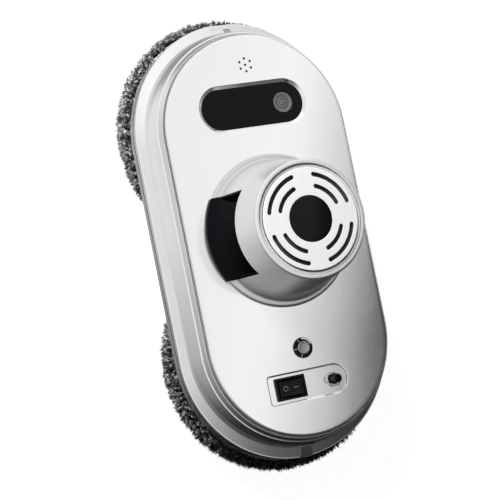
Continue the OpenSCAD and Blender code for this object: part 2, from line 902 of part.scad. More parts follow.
module panel_outline(grow) {
    translate([panel_round_x, panel_y])
        circle(panel_r + grow);
    translate([panel_left_x - grow + panel_corner_r, panel_y - panel_r - grow])
        square([panel_round_x - panel_left_x + grow - panel_corner_r, 2 * (panel_r + grow)]);
    translate([panel_left_x - grow, panel_y - panel_r - grow + panel_corner_r])
        square([2 * panel_corner_r, 2 * (panel_r + grow - panel_corner_r)]);
    for (s = [-1, 1])
        translate([panel_left_x - grow + panel_corner_r, panel_y + s * (panel_r + grow - panel_corner_r)])
            circle(panel_corner_r);
}

module window_block(r, from, to) {
    translate([0, window_y, 0])
        rotate([0, 0, 90])
            stadium_block(r, window_a, from, to);
}

module top_cover() {
    skirt_r = cover_r + cover_groove - landing_w - pass_gap;
    color(pearl)
        difference() {
            union() {
                cover_plate();
                // Locating skirt
                difference() {
                    stadium_block(skirt_r, cover_a, cover_under - skirt_h, cover_under);
                    stadium_block(skirt_r - wall, cover_a, cover_under - skirt_h - over, cover_under + over);
                }
                // Tub under the sensor window
                window_block(window_r + fit_gap + wall, tub_under, cover_under);
                // Thicker floor under the control panel
                translate([0, 0, panel_under])
                    linear_extrude(panel_drop + over)
                        panel_outline(wall);
                // Ring that holds the speaker
                translate([0, speaker_y, 0])
                    tube(speaker_r + fit_gap + wall / 2, speaker_r + fit_gap,
                        cover_under - speaker_t, cover_under + over);
                // Posts that carry the two small boards
                for (s = [-1, 1]) {
                    translate([s * control_post_x, button_y, 0])
                        post(boss_post_r - wall / 2, control_board_top, cover_under);
                    translate([s * sensor_post_x, window_y, 0])
                        post(boss_post_r - wall / 2, sensor_board_top, tub_under);
                }
            }
            // Fan hole and the handle's screw holes
            translate([0, handle_y, 0]) {
                post(fan_hole_r, cover_under - over, cover_z + over);
                for (t = handle_screw_angles)
                    rotate([0, 0, t])
                        translate([handle_screw_r, 0, 0])
                            post(screw_r + run_gap, cover_under - over, cover_z + over);
            }
            // Window seat with its bevel, and the way through to the sensor
            window_block(window_r + fit_gap, window_seat_z, cover_z + over);
            translate([0, window_y, 0])
                rotate([0, 0, 90])
                    round_stadium(window_a)
                        polygon([
                            [0, cover_z - window_drop],
                            [window_r + fit_gap, cover_z - window_drop],
                            [window_r + window_bevel, cover_z],
                            [window_r + window_bevel, cover_z + over],
                            [0, cover_z + over]
                        ]);
            translate([lens_x, window_y, 0])
                post(lens_r - wall, tub_under - over, window_seat_z + over);
            // Speaker holes
            translate([0, speaker_y, cover_under - over]) {
                cylinder(r = sound_hole_r, h = cover_t + 2 * over);
                for (i = [0:sound_holes - 1])
                    rotate([0, 0, 90 + i * 360 / sound_holes])
                        translate([sound_ring_r, 0, 0])
                            cylinder(r = sound_hole_r, h = cover_t + 2 * over);
            }
            // Button hole
            translate([0, button_y, 0])
                post(sleeve_r + fit_gap, cover_under - over, cover_z + over);
            // Control panel, switch and socket openings
            translate([0, 0, panel_z])
                linear_extrude(panel_drop + over)
                    panel_outline(0);
            switch_block(
                switch_l - 2 * switch_rim + 2 * fit_gap,
                switch_w - 2 * switch_rim + 2 * fit_gap, panel_under - over, panel_z + over);
            translate([socket_x, panel_y, 0])
                post(socket_r + fit_gap, panel_under - over, cover_z + over);
        }
}

// Sensor window, lens and boards

module sensor_window() {
    color(gloss_black)
        difference() {
            window_block(window_r, window_seat_z, window_seat_z + window_t);
            translate([lens_x, window_y, 0])
                post(lens_r + fit_gap, window_seat_z - over, window_seat_z + window_t + over);
        }
}

module sensor_lens() {
    step_h = window_t / (4 * lens_steps);
    color(grey)
        translate([lens_x, window_y, 0])
            for (i = [1:lens_steps])
                post(lens_r * i / lens_steps, window_seat_z, window_seat_z + window_t - i * step_h);
}

module sensor_board() {
    color(board_green)
        translate([0, window_y, sensor_board_top - board_t / 2])
            cube([sensor_board_w, sensor_board_l, board_t], center = true);
}

module speaker() {
    color(matt_black)
        translate([0, speaker_y, 0])
            post(speaker_r, cover_under - speaker_t, cover_under);
}

// Start button and what is under it

module button_bezel() {
    color(gloss_black)
        translate([0, button_y, 0]) {
            tube(bezel_r, button_r + fit_gap, cover_z, cover_z + bezel_rise);
            tube(sleeve_r, button_r + fit_gap, sleeve_under, cover_z);
        }
}

module start_button() {
    color(steel)
        translate([0, button_y, 0]) {
            post(button_r, button_under, cover_z + button_rise);
            post(sleeve_r, button_under, button_under + button_flange_t);
        }
}

module tact_switch() {
    plunger_h = tact_h / 4;
    color(matt_black)
        translate([0, button_y, 0]) {
            translate([-tact_w / 2, -tact_w / 2, control_board_top])
                cube([tact_w, tact_w, tact_h - plunger_h]);
            post(tact_w / 4, control_board_top, control_board_top + tact_h);
        }
}

module control_board() {
    color(board_green)
        translate([0, button_y, control_board_top - board_t / 2])
            cube([control_board_w, control_board_l, board_t], center = true);
}

// Rocker switch

module switch_block(l, w, from, to) {
    translate([switch_x - l / 2, panel_y - w / 2, from])
        cube([l, w, to - from]);
}

module switch_housing() {
    body_l = switch_l - 2 * switch_rim;
    body_w = switch_w - 2 * switch_rim;
    color(gloss_black)
        difference() {
            union() {
                switch_block(switch_l, switch_w, panel_z, panel_z + switch_rise);
                switch_block(body_l, body_w, panel_z - switch_depth, panel_z + switch_rise);
                for (s = [-1, 1])
                    translate([s * body_l / 4, 0, 0])
                        switch_block(terminal_t, terminal_w, panel_z - switch_depth - terminal_h,
                            panel_z - switch_depth);
            }
            switch_block(cavity_l, cavity_w, panel_z - switch_depth + switch_floor,
                panel_z + switch_rise + over);
            translate([switch_x, panel_y, pivot_z])
                rotate([90, 0, 0])
                    cylinder(r = rocker_pin_r + run_gap, h = body_w - 2 * pin_cover, center = true);
        }
}

module rocker() {
    // The dipped end stays clear of the cavity's end wall
    half_l = (cavity_l / 2 - rocker_gap - rocker_top * sin(rocker_tilt)) * cos(rocker_tilt);
    w = cavity_w - 2 * rocker_gap;
    rise = half_l * tan(rocker_tilt);
    color(gloss_black)
        translate([switch_x, panel_y, pivot_z])
            rotate([0, -rocker_tilt, 0])
                rotate([90, 0, 0]) {
                    linear_extrude(w, center = true)
                        polygon([
                            [-half_l, rocker_top + rise],
                            [-half_l * rocker_end_share, -rocker_top * rocker_end_drop_share],
                            [-half_l * rocker_foot_share, -rocker_top * rocker_foot_drop_share],
                            [half_l * rocker_foot_share, -rocker_top * rocker_foot_drop_share],
                            [half_l * rocker_end_share, -rocker_top * rocker_end_drop_share],
                            [half_l, rocker_top + rise],
                            [0, rocker_top]
                        ]);
                    cylinder(r = rocker_pin_r, h = cavity_w + switch_wall, center = true);
                }
}

// Power socket

module power_socket() {
    top = panel_z + socket_rise;
    color(steel)
        translate([socket_x, panel_y, 0])
            difference() {
                union() {
                    post(socket_r, panel_under, top);
                    post(socket_body_r, panel_under - socket_body_h, panel_under);
                }
                post(socket_bore_r, top - socket_bore_h, top + over);
            }
}

module socket_nut() {
    color(steel)
        translate([socket_x, panel_y, panel_z])
            difference() {
                cylinder(d = nut_d, h = nut_h, $fn = 6);
                translate([0, 0, -over])
                    cylinder(r = socket_r + run_gap, h = nut_h + 2 * over);
            }
}

// Electronics

module main_board() {
    z = base_floor + main_board_rise;
    color(board_green)
        translate([main_board_x, main_board_y, z]) {
            translate([0, 0, board_t / 2])
                cube([main_board_w, main_board_l, board_t], center = true);
            for (p = capacitor_place_shares)
                translate([p[0] * main_board_w, p[1] * main_board_l, board_t])
                    cylinder(r = capacitor_r, h = capacitor_h);
            for (p = chip_place_shares)
                translate([p[0] * main_board_w, p[1] * main_board_l, board_t + chip_h / 2])
                    cube([chip_w, chip_w, chip_h], center = true);
            translate([0, -main_board_l / 2 + chip_w / 2, board_t + capacitor_h / 4])
                cube([main_board_w / 2, chip_w, capacitor_h / 2], center = true);
        }
}

module battery_cells() {
    pitch = 2 * cell_r + fit_gap;
    color(cell_blue)
        for (i = [-0.5, 0.5], k = [0, 1])
            translate([battery_x + i * pitch, battery_y, base_floor + cradle_t + cell_r + k * pitch])
                rotate([90, 0, 0])
                    cylinder(r = cell_r, h = cell_l, center = true);
}

module battery_cradle() {
    inner_l = cell_l + 2 * fit_gap;
    color(matt_black)
        translate([battery_x, battery_y, base_floor])
            difference() {
                translate([0, 0, (cradle_t + cell_r) / 2])
                    cube([battery_w + 2 * cradle_t, inner_l + 2 * cradle_t, cradle_t + cell_r],
                        center = true);
                translate([0, 0, cradle_t + cell_r])
                    cube([battery_w, inner_l, 2 * cell_r], center = true);
            }
}

module edge_sensor_places() {
    for (s = [-1, 1])
        translate([s * edge_sensor_x, 0, 0])
            children();
}

module edge_sensors() {
    color(gloss_black)
        edge_sensor_places()
            post(edge_sensor_r, base_z, base_floor + edge_sensor_r);
}

// Handle

module beside_grips(gap) {
    difference() {
        children();
        translate([-2 * drum_r, handle_y - grip_w - gap, cover_z - over])
            cube([4 * drum_r, 2 * (grip_w + gap), collar_h + 2 * over]);
    }
}

module handle_housing() {
    bore_r = trim_r + fit_gap;
    edge = arc_points(drum_top_r - drum_edge_r, handle_top - drum_edge_r, drum_edge_r, 0, 90, 5);
    inner_x = scoop_floor_r - grip_t - over;
    color(pearl)
        translate([0, handle_y, 0])
            difference() {
                union() {
                    rotate_extrude()
                        polygon(concat(
                            [[drum_r - wall, cover_z], [drum_r, cover_z]],
                            edge,
                            [[bore_r, handle_top],
                             [bore_r, vent_z],
                             [vent_r - ledge_w, vent_z],
                             [vent_r - ledge_w, vent_z - ledge_t],
                             [drum_at(vent_z - ledge_t) - wall, vent_z - ledge_t]]));
                    for (t = handle_screw_angles)
                        rotate([0, 0, t])
                            translate([handle_screw_r, 0, 0])
                                post(boss_post_r, cover_z, cover_z + handle_boss_h);
                }
                for (t = handle_screw_angles)
                    rotate([0, 0, t])
                        translate([handle_screw_r, 0, 0])
                            post(screw_r + run_gap, cover_z - over, cover_z + handle_boss_h - wall);
                for (s = [0, 180])
                    rotate([0, 0, s])
                        translate([inner_x - drum_r / 4, -grip_w - fit_gap, cover_z - over])
                            cube([drum_r, 2 * (grip_w + fit_gap), grip_h + over]);
            }
}

module handle_collar() {
    edge = arc_points(collar_r - collar_edge_r, cover_z + collar_h - collar_edge_r, collar_edge_r, 0, 90, 5);
    color(pearl)
        beside_grips(fit_gap)
            translate([0, handle_y, 0])
                rotate_extrude()
                    polygon(concat(
                        [[drum_r + fit_gap, cover_z], [collar_r, cover_z]],
                        edge,
                        [[drum_r + fit_gap, cover_z + collar_h]]));
}

// A grip is the hollow's shell, with a cheek at each side
module grip_shell_section() {
    bottom = cover_z + fit_gap;
    top = cover_z + grip_h - fit_gap;
    inner = scoop_floor_r - grip_t;
    intersection() {
        translate([scoop_floor_r + scoop_r, cover_z + scoop_h])
            difference() {
                circle(scoop_r + grip_t);
                circle(scoop_r);
            }
        translate([inner, bottom])
            square([grip_lip_r - inner, top - bottom]);
    }
}

module grip_cheek_section() {
    bottom = cover_z + fit_gap;
    top = cover_z + grip_h - fit_gap;
    inner = scoop_floor_r;
    polygon([[inner, bottom], [drum_at(bottom), bottom], [drum_at(top), top], [inner, top]]);
}

module grip() {
    color(gloss_black)
        translate([0, handle_y, 0]) {
            intersection() {
                rotate_extrude()
                    grip_shell_section();
                translate([-2 * drum_r, -grip_w, cover_z])
                    cube([2 * drum_r, 2 * grip_w, grip_h]);
            }
            for (s = [0, 1])
                intersection() {
                    rotate_extrude()
                        grip_cheek_section();
                    translate([-2 * drum_r, s * (2 * grip_w - cheek_t) - grip_w, cover_z])
                        cube([2 * drum_r, cheek_t, grip_h]);
                }
        }
}

module left_grip() {
    grip();
}

module right_grip() {
    mirror([1, 0, 0])
        grip();
}

// Vent

// A curved slot on a circle, from one angle to another, with round ends
module arc_slot(r, w, from, to, low, high) {
    reach = 2 * r;
    middle = (from + to) / 2;
    translate([0, 0, low])
        linear_extrude(high - low) {
            intersection() {
                difference() {
                    circle(r + w / 2);
                    circle(r - w / 2);
                }
                polygon([
                    [0, 0],
                    reach * [cos(from), sin(from)],
                    reach * [cos(middle), sin(middle)],
                    reach * [cos(to), sin(to)]
                ]);
            }
            for (t = [from, to])
                translate([r * cos(t), r * sin(t)])
                    circle(w / 2);
        }
}

module vent_cap() {
    plate_z = handle_top - vent_t;
    color(pearl)
        translate([0, handle_y, 0])
            difference() {
                post(vent_r, vent_z, handle_top);
                post(vent_r - vent_t, vent_z - over, plate_z);
                post(boss_r + fit_gap, handle_top - boss_seat, handle_top + over);
                for (q = [0:3])
                    rotate([0, 0, q * 90]) {
                        arc_slot(slot_outer_r, slot_w, 45 - outer_slot_half, 45 + outer_slot_half,
                            plate_z - over, handle_top + over);
                        arc_slot(slot_inner_r, slot_w, 45 - inner_slot_half, 45 + inner_slot_half,
                            plate_z - over, handle_top + over);
                    }
            }
}

module vent_trim_ring() {
    color(grey)
        translate([0, handle_y, 0])
            tube(trim_r, vent_r + fit_gap, vent_z, handle_top - trim_drop);
}

module boss_cap() {
    crown_r = (boss_r * boss_r + boss_rise * boss_rise) / (2 * boss_rise);
    crown = arc_points(0, handle_top + boss_rise - crown_r, crown_r, 90 - asin(boss_r / crown_r), 90, 6);
    color(gloss_black)
        translate([0, handle_y, 0])
            rotate_extrude()
                polygon(concat([[0, handle_top - boss_seat], [boss_r, handle_top - boss_seat]], crown));
}

module silencer_foam() {
    top = handle_top - vent_t - pass_gap;
    color(matt_black)
        translate([0, handle_y, 0])
            tube(vent_r - ledge_w - pass_gap, boss_r - foam_t, top - foam_t, top);
}

// Fan

module inlet_plate() {
    color(grey)
        translate([0, handle_y, 0])
            difference() {
                union() {
                    post(inlet_plate_r, cover_z, inlet_plate_top);
                    post(inlet_r + duct_wall, duct_top, inlet_plate_top);
                    for (t = [45:90:315])
                        rotate([0, 0, t])
                            translate([fan_post_pitch_r, 0, 0])
                                post(fan_post_r, cover_z, mount_z);
                }
                post(inlet_r, duct_top - over, inlet_plate_top + over);
            }
}

module impeller() {
    color(matt_black)
        translate([0, handle_y, 0])
            difference() {
                union() {
                    post(impeller_hub_r, blade_z, impeller_top + board_t);
                    post(impeller_r, blade_z + blade_h, impeller_top);
                    intersection() {
                        for (i = [0:blades - 1])
                            rotate([0, 0, i * 360 / blades])
                                translate([impeller_hub_r - blade_t, 0, blade_z])
                                    rotate([0, 0, blade_lean])
                                        cube([impeller_r, blade_t, blade_h + impeller_plate_t / 2]);
                        post(impeller_r, blade_z, impeller_top);
                    }
                }
                post(fan_shaft_r, blade_z - over, impeller_top + 2 * over + board_t);
            }
}

module fan_shaft() {
    color(steel)
        translate([0, handle_y, 0])
            post(fan_shaft_r, blade_z, fan_shaft_top);
}

module fan_motor() {
    color(steel)
        translate([0, handle_y, 0])
            difference() {
                union() {
                    post(fan_motor_r, fan_motor_z, fan_motor_top);
                    post(fan_nose_r, mount_z, fan_motor_z);
                }
                post(fan_shaft_r + run_gap, mount_z - over, fan_shaft_top + pass_gap);
            }
}

module motor_mount() {
    slot_r = (inlet_plate_r + fan_motor_r) / 2 - fan_post_r;
    color(grey)
        translate([0, handle_y, 0])
            difference() {
                post(inlet_plate_r, mount_z, fan_motor_z);
                post(fan_nose_r + fit_gap, mount_z - over, fan_motor_z + over);
                for (q = [0:3])
                    rotate([0, 0, q * 90])
                        arc_slot(slot_r, 2 * wall, 45 - mount_slot_half, 45 + mount_slot_half,
                            mount_z - over, fan_motor_z + over);
            }
}

// Suction duct

module suction_duct() {
    color(grey)
        difference() {
            union() {
                stadium_block(duct_r, pad_y, duct_z, duct_top);
                for (s = [-1, 1])
                    translate([0, s * pad_y, 0])
                        post(spigot_r, duct_z - spigot_h, duct_z + duct_wall);
            }
            stadium_block(duct_r - duct_wall, pad_y, duct_z + duct_wall, duct_top + over);
            for (s = [-1, 1])
                translate([0, s * pad_y, 0])
                    post(spigot_bore_r, duct_z - spigot_h - over, duct_top + over);
        }
}

module duct_cover() {
    color(grey)
        difference() {
            stadium_block(duct_r, pad_y, duct_top, duct_lid_top);
            translate([0, handle_y, 0])
                post(inlet_r + duct_wall + fit_gap, duct_top - over, duct_lid_top + over);
        }
}

module suction_seals() {
    z = duct_z - spigot_h + fit_gap;
    color(matt_black)
        for (s = [-1, 1])
            translate([0, s * pad_y, 0])
                tube(hub_bore_r - fit_gap, spigot_r, z, z + duct_wall);
}

// Fasteners and rope bar

module case_screws() {
    color(steel)
        screw_places() {
            post(screw_head_r, base_z, base_z + screw_head_h);
            post(screw_r, base_z, base_z + screw_pad_h + screw_grip_h - wall - fit_gap);
        }
}

module handle_screws() {
    color(steel)
        translate([0, handle_y, 0])
            for (t = handle_screw_angles)
                rotate([0, 0, t])
                    translate([handle_screw_r, 0, 0]) {
                        post(screw_head_r, cover_under - screw_head_h, cover_under);
                        post(screw_r, cover_under - screw_head_h, cover_z + handle_boss_h - wall - fit_gap);
                    }
}

module rope_block(grow) {
    w = rope_notch_w + 2 * wall + 2 * grow;
    d = rope_notch_d + wall;
    translate([rope_x - w / 2, flange_a + flange_r - d - grow, flange_z - grow])
        cube([w, d - wall / 2 + grow, band_h - wall / 2 + grow]);
}

module rope_notch() {
    translate([rope_x - rope_notch_w / 2, flange_a + flange_r - rope_notch_d, flange_z - over])
        cube([rope_notch_w, rope_notch_d + over, flange_h + over + rope_bar_r]);
}

module rope_bar_at(r) {
    translate([rope_x, flange_a + flange_r - rope_notch_d / 2, flange_z + flange_h / 2])
        rotate([0, 90, 0])
            cylinder(r = r, h = rope_notch_w + wall, center = true);
}

module rope_bar() {
    color(steel)
        rope_bar_at(rope_bar_r);
}

top_cover();
side_shell();
base_plate();
handle_housing();
handle_collar();
vent_cap();
vent_trim_ring();
boss_cap();
left_grip();
right_grip();
silencer_foam();
sensor_window();
sensor_lens();
sensor_board();
speaker();
button_bezel();
start_button();
tact_switch();
control_board();
switch_housing();
rocker();
power_socket();
socket_nut();
main_board();
battery_cells();
battery_cradle();
fan_motor();
fan_shaft();
impeller();
motor_mount();
inlet_plate();
suction_duct();
duct_cover();
suction_seals();
front_motor();
rear_motor();
front_pinion();
rear_pinion();
front_idler_gear();
rear_idler_gear();
front_idler_pin();
rear_idler_pin();
front_drive_gear();
rear_drive_gear();
front_gear_bracket();
rear_gear_bracket();
front_hub_bush();
rear_hub_bush();
front_pad_disc();
rear_pad_disc();
front_hook_ring();
rear_hook_ring();
front_pad();
rear_pad();
case_screws();
handle_screws();
edge_sensors();
rope_bar();
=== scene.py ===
"""A window cleaning robot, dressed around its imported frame: pearl casings, a carrying
handle with its grips and vent, a sensor window, switch, socket and two fleecy pads."""

import json
from math import cos, pi, radians, sin, tan

import bpy
import numpy as np
from bpy.props import FloatProperty, FloatVectorProperty, IntProperty, PointerProperty
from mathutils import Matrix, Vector


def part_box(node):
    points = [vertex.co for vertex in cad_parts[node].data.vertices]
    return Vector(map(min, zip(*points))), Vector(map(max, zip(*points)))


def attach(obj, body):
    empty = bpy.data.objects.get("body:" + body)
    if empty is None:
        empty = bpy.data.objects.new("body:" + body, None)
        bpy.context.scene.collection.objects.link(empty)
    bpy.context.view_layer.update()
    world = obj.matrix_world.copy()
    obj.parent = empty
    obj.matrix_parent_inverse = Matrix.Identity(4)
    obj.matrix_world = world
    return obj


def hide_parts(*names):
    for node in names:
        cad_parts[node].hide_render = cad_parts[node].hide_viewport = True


bl_info = {
    "name": "Window cleaning robot",
    "version": (1, 0, 0),
    "blender": (4, 5, 0),
    "location": "3D View > Sidebar > Robot",
    "description": "Builds the skins, fleece and finishes of a window cleaning robot",
    "category": "Add Mesh",
}

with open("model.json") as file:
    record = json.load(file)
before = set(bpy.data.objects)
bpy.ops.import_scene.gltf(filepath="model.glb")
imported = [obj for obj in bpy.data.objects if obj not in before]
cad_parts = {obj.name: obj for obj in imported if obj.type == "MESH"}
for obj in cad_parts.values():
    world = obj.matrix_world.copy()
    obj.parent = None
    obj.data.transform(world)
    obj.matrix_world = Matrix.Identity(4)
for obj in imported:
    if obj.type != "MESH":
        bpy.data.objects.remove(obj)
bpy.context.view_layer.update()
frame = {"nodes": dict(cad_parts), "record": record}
MM = 0.001
FIT = 0.1 * MM  # room between a piece and what it sits in
PAST = 1 * MM  # how far a cut goes on past the faces that it opens
OVAL_STEPS = LENS_STEPS = 72
PIN_STEPS, HOLE_STEPS, RING_STEPS, ROUND_STEPS, DRUM_STEPS, PAD_STEPS = 32, 40, 96, 128, 160, 360
SHARP_ANGLE = radians(32)
WHITE = (1, 1, 1, 1)


def node_top(node):
    """Height of a node's highest point."""
    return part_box(node)[1].z


def node_radius(node):
    """Half of a node's width."""
    low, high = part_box(node)
    return (high.x - low.x) / 2


def node_end(node):
    """How far a node reaches along the body from its middle."""
    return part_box(node)[1].y


# Sizes and colours


def length(name, description, default):
    """A size in metres."""
    return FloatProperty(name=name, description=description, default=default, unit="LENGTH")


def colour(name, description, default):
    """A colour of a finish."""
    return FloatVectorProperty(
        name=name, description=description, default=default, size=3, subtype="COLOR", min=0, max=1)


class BodySizes(bpy.types.PropertyGroup):
    flange_radius: length("Flange radius", "Widest radius of the side shell", node_radius("side_shell"))
    flange_reach: length(
        "Flange reach", "From the middle to the centre of the flange's round end",
        node_end("side_shell") - node_radius("side_shell"))
    wall_reach: length(
        "Wall reach", "From the middle to the centre of the wall's round end",
        node_end("top_cover") - node_radius("top_cover"))
    flange_under: length("Flange underside", "Height of the flange's lower edge", 31 * MM)
    flange_top: length("Flange top", "Height of the flange's ledge", 35.5 * MM)
    ledge: length("Ledge", "Width of the flange's ledge", 0.8 * MM)
    wall_foot: length("Wall foot", "Height at which the wall starts", 40 * MM)
    wall_radius: length("Wall radius", "Radius of the wall at its foot", 70.7 * MM)
    shoulder_height: length("Shoulder height", "Height of the shoulder's ridge", 54.2 * MM)
    shoulder_radius: length("Shoulder radius", "Radius of the shoulder's ridge", 67.6 * MM)
    landing_radius: length("Landing radius", "Inner end of the shoulder", 64.8 * MM)
    wall_thickness: length("Wall", "Thickness of the casings", 2.5 * MM)
    cover_radius: length("Cover radius", "Radius of the top cover's ends", node_radius("top_cover"))
    cover_under: length("Cover underside", "Height of the top cover's underside", 59.5 * MM)
    cover_top: length("Cover top", "Height of the top cover's face", node_top("top_cover"))
    cover_edge: length("Cover edge", "Rounding of the top cover's edge", 1.8 * MM)
    base_under: length("Base underside", "Height of the base plate's underside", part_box("base_plate")[0].z)
    base_floor: length("Base floor", "Height of the base plate's inner face", 26.5 * MM)
    strip_top: length("Strip top", "Height of the base plate's outer strip", 29.5 * MM)
    strip_radius: length("Strip radius", "Radius of the base plate's outer strip", node_radius("base_plate"))
    lip_radius: length("Lip radius", "Radius of the lip behind the seam", 72.4 * MM)
    lip_top: length("Lip top", "Height of the lip behind the seam", 34.5 * MM)
    pad_place: length("Pad place", "From the middle to the pads' axes", 76.6 * MM)
    hub_hole: length("Hub hole", "Radius of the holes for the hub bushes", 20.55 * MM)
    screw_hole: length("Screw hole", "Radius of the screws' counterbores", 2.9 * MM)
    screw_sink: length("Screw sink", "Depth of the screws' counterbores", 2 * MM)
    sensor_hole: length("Edge sensor hole", "Radius of the edge sensors' holes", 4.6 * MM)
    notch_width: length("Notch width", "Width of the notch for the rope bar", 10 * MM)
    notch_depth: length("Notch depth", "Depth of the notch for the rope bar", 6 * MM)
    notch_top: length("Notch top", "Height of the notch's roof", 36.7 * MM)


class PanelSizes(bpy.types.PropertyGroup):
    window_place: length("Window place", "From the middle to the sensor window", 85 * MM)
    window_radius: length("Window radius", "Radius of the window's ends", 13.4 * MM)
    window_reach: length("Window reach", "Half the straight part of the window", 23 * MM)
    window_face: length("Window face", "Height of the window's face", node_top("sensor_window"))
    window_bevel: length("Window bevel", "Width of the bevel round the window", 2.1 * MM)
    lens_place: length("Lens place", "Sideways place of the lens in the window", 22.2 * MM)
    lens_radius: length("Lens radius", "Radius of the lens", 6.8 * MM)
    speaker_place: length("Speaker place", "From the middle to the speaker", 112.4 * MM)
    sound_ring: length("Sound ring", "Radius on which the speaker's holes sit", 4.3 * MM)
    sound_hole: length("Sound hole", "Radius of a speaker hole", 0.8 * MM)
    button_place: length("Button place", "From the middle to the start button", -76 * MM)
    button_radius: length("Button radius", "Radius of the start button's cap", 4.2 * MM)
    button_top: length("Button top", "Height of the cap", node_top("start_button"))
    bezel_radius: length("Bezel radius", "Radius of the ring round the start button", 6.8 * MM)
    bezel_top: length("Bezel top", "Height of the ring", node_top("button_bezel"))
    recess_place: length("Recess place", "From the middle to the control panel's centre line", -99.7 * MM)
    recess_left: length("Recess left", "Left end of the control panel", -29 * MM)
    recess_right: length("Recess right", "Centre of the control panel's round end", 18 * MM)
    recess_radius: length("Recess radius", "Radius of the control panel's round end", 9.3 * MM)
    recess_corner: length("Recess corner", "Radius of the control panel's corners", 2 * MM)
    recess_floor: length("Recess floor", "Height of the control panel's floor", 60.8 * MM)
    switch_place: length("Switch place", "Sideways place of the switch", -13.6 * MM)
    switch_length: length("Switch length", "Length of the switch frame", 21.4 * MM)
    switch_width: length("Switch width", "Width of the switch frame", 14.8 * MM)
    switch_top: length("Switch top", "Height of the switch frame", 62.3 * MM)
    switch_rim: length("Switch rim", "Width of the frame round the rocker", 1.9 * MM)
    pivot_height: length("Pivot height", "Height of the rocker's axis", 60.2 * MM)
    rocker_tilt: FloatProperty(
        name="Rocker tilt", description="Tilt of the rocker to each side",
        default=radians(10), subtype="ANGLE")
    socket_place: length("Socket place", "Sideways place of the power socket", 17.3 * MM)
    socket_radius: length("Socket radius", "Radius of the socket's thread", 3 * MM)
    socket_top: length("Socket top", "Height of the socket's rim", node_top("power_socket"))
    socket_bore: length("Socket bore", "Radius of the socket's bore", 2 * MM)
    thread_pitch: length("Thread pitch", "Pitch of the socket's thread", 0.75 * MM)
    nut_radius: length("Nut radius", "From the nut's middle to its corners", 5.5 * MM)
    nut_height: length("Nut height", "Height of the nut", 2.2 * MM)


class HandleSizes(bpy.types.PropertyGroup):
    place: length("Handle place", "From the middle to the handle's axis", 1.8 * MM)
    drum_radius: length("Drum radius", "Radius of the drum at its foot", 46 * MM)
    drum_top_radius: length("Drum top radius", "Radius of the drum at its top", 38 * MM)
    drum_edge: length("Drum edge", "Rounding of the drum's top edge", 1.5 * MM)
    top: length("Handle top", "Height of the drum's rim", node_top("handle_housing"))
    collar_radius: length("Collar radius", "Radius of the ring at the drum's foot", 50.5 * MM)
    collar_height: length("Collar height", "Height of the ring at the drum's foot", 4 * MM)
    grip_half: length("Grip half width", "Half the width of a grip", 27 * MM)
    grip_height: length("Grip height", "Height of a grip", 26 * MM)
    scoop_centre: length("Scoop centre", "From the axis to the scoop's centre", 52.45 * MM)
    scoop_height: length("Scoop height", "Height of the scoop's centre over the cover", 16.5 * MM)
    scoop_radius: length("Scoop radius", "Radius of the scoop", 14.25 * MM)
    lip_radius: length("Grip lip", "From the axis to the grip's lower lip", 51 * MM)
    cheek: length("Cheek", "Thickness of the walls that close the scoop", 1.6 * MM)
    vent_radius: length("Vent radius", "Radius of the vent cap", 32.7 * MM)
    vent_thickness: length("Vent thickness", "Thickness of the vent cap", 2 * MM)
    vent_under: length("Vent underside", "Height of the vent cap's rim", 107.5 * MM)
    trim_radius: length("Trim radius", "Radius of the ring round the vent cap", 35 * MM)
    fan_hole: length("Fan hole", "Radius of the hole in the cover under the drum", 28.5 * MM)
    trim_top: length("Trim top", "Height of the ring round the vent cap", 110 * MM)
    slot_width: length("Slot width", "Width of a vent slot", 2.4 * MM)
    outer_slots: length("Outer slots", "Radius of the outer slots", 28.3 * MM)
    inner_slots: length("Inner slots", "Radius of the inner slots", 21.1 * MM)
    outer_slot_angle: FloatProperty(
        name="Outer slot angle", description="Half the sweep of an outer slot",
        default=radians(29.5), subtype="ANGLE")
    inner_slot_angle: FloatProperty(
        name="Inner slot angle", description="Half the sweep of an inner slot",
        default=radians(23.7), subtype="ANGLE")
    boss_radius: length("Boss radius", "Radius of the black middle", 14.7 * MM)
    boss_rise: length("Boss rise", "Height of the black middle over the vent cap", 0.7 * MM)


class PadSizes(bpy.types.PropertyGroup):
    radius: length("Pad radius", "Radius of the fleece without its pile", 74.2 * MM)
    hole_radius: length("Hole radius", "Radius of the hole in the fleece", 24 * MM)
    top: length("Pad top", "Height of the fleece's wrapped edge", 19.4 * MM)
    face: length("Face", "Height of the fleece's backing over the glass", 1.8 * MM)
    floor: length("Floor", "Height of the fleece inside its wrapped edge", 6.8 * MM)
    wrap: length("Wrap", "Thickness of the wrapped edge", 2.7 * MM)
    pile: length("Pile", "Length of the pile", 5.2 * MM)
    strand: length("Strand", "Thickness of a strand at its root", 0.4 * MM)
    edge_tufts: IntProperty(name="Edge tufts", description="Tufts round the edge of a pad", default=2300)
    face_tufts: IntProperty(name="Face tufts", description="Tufts under a pad", default=1500)
    tuft_strands: IntProperty(name="Strands", description="Strands in a tuft", default=8)
    seed: IntProperty(name="Seed", description="Start of the random numbers", default=7)


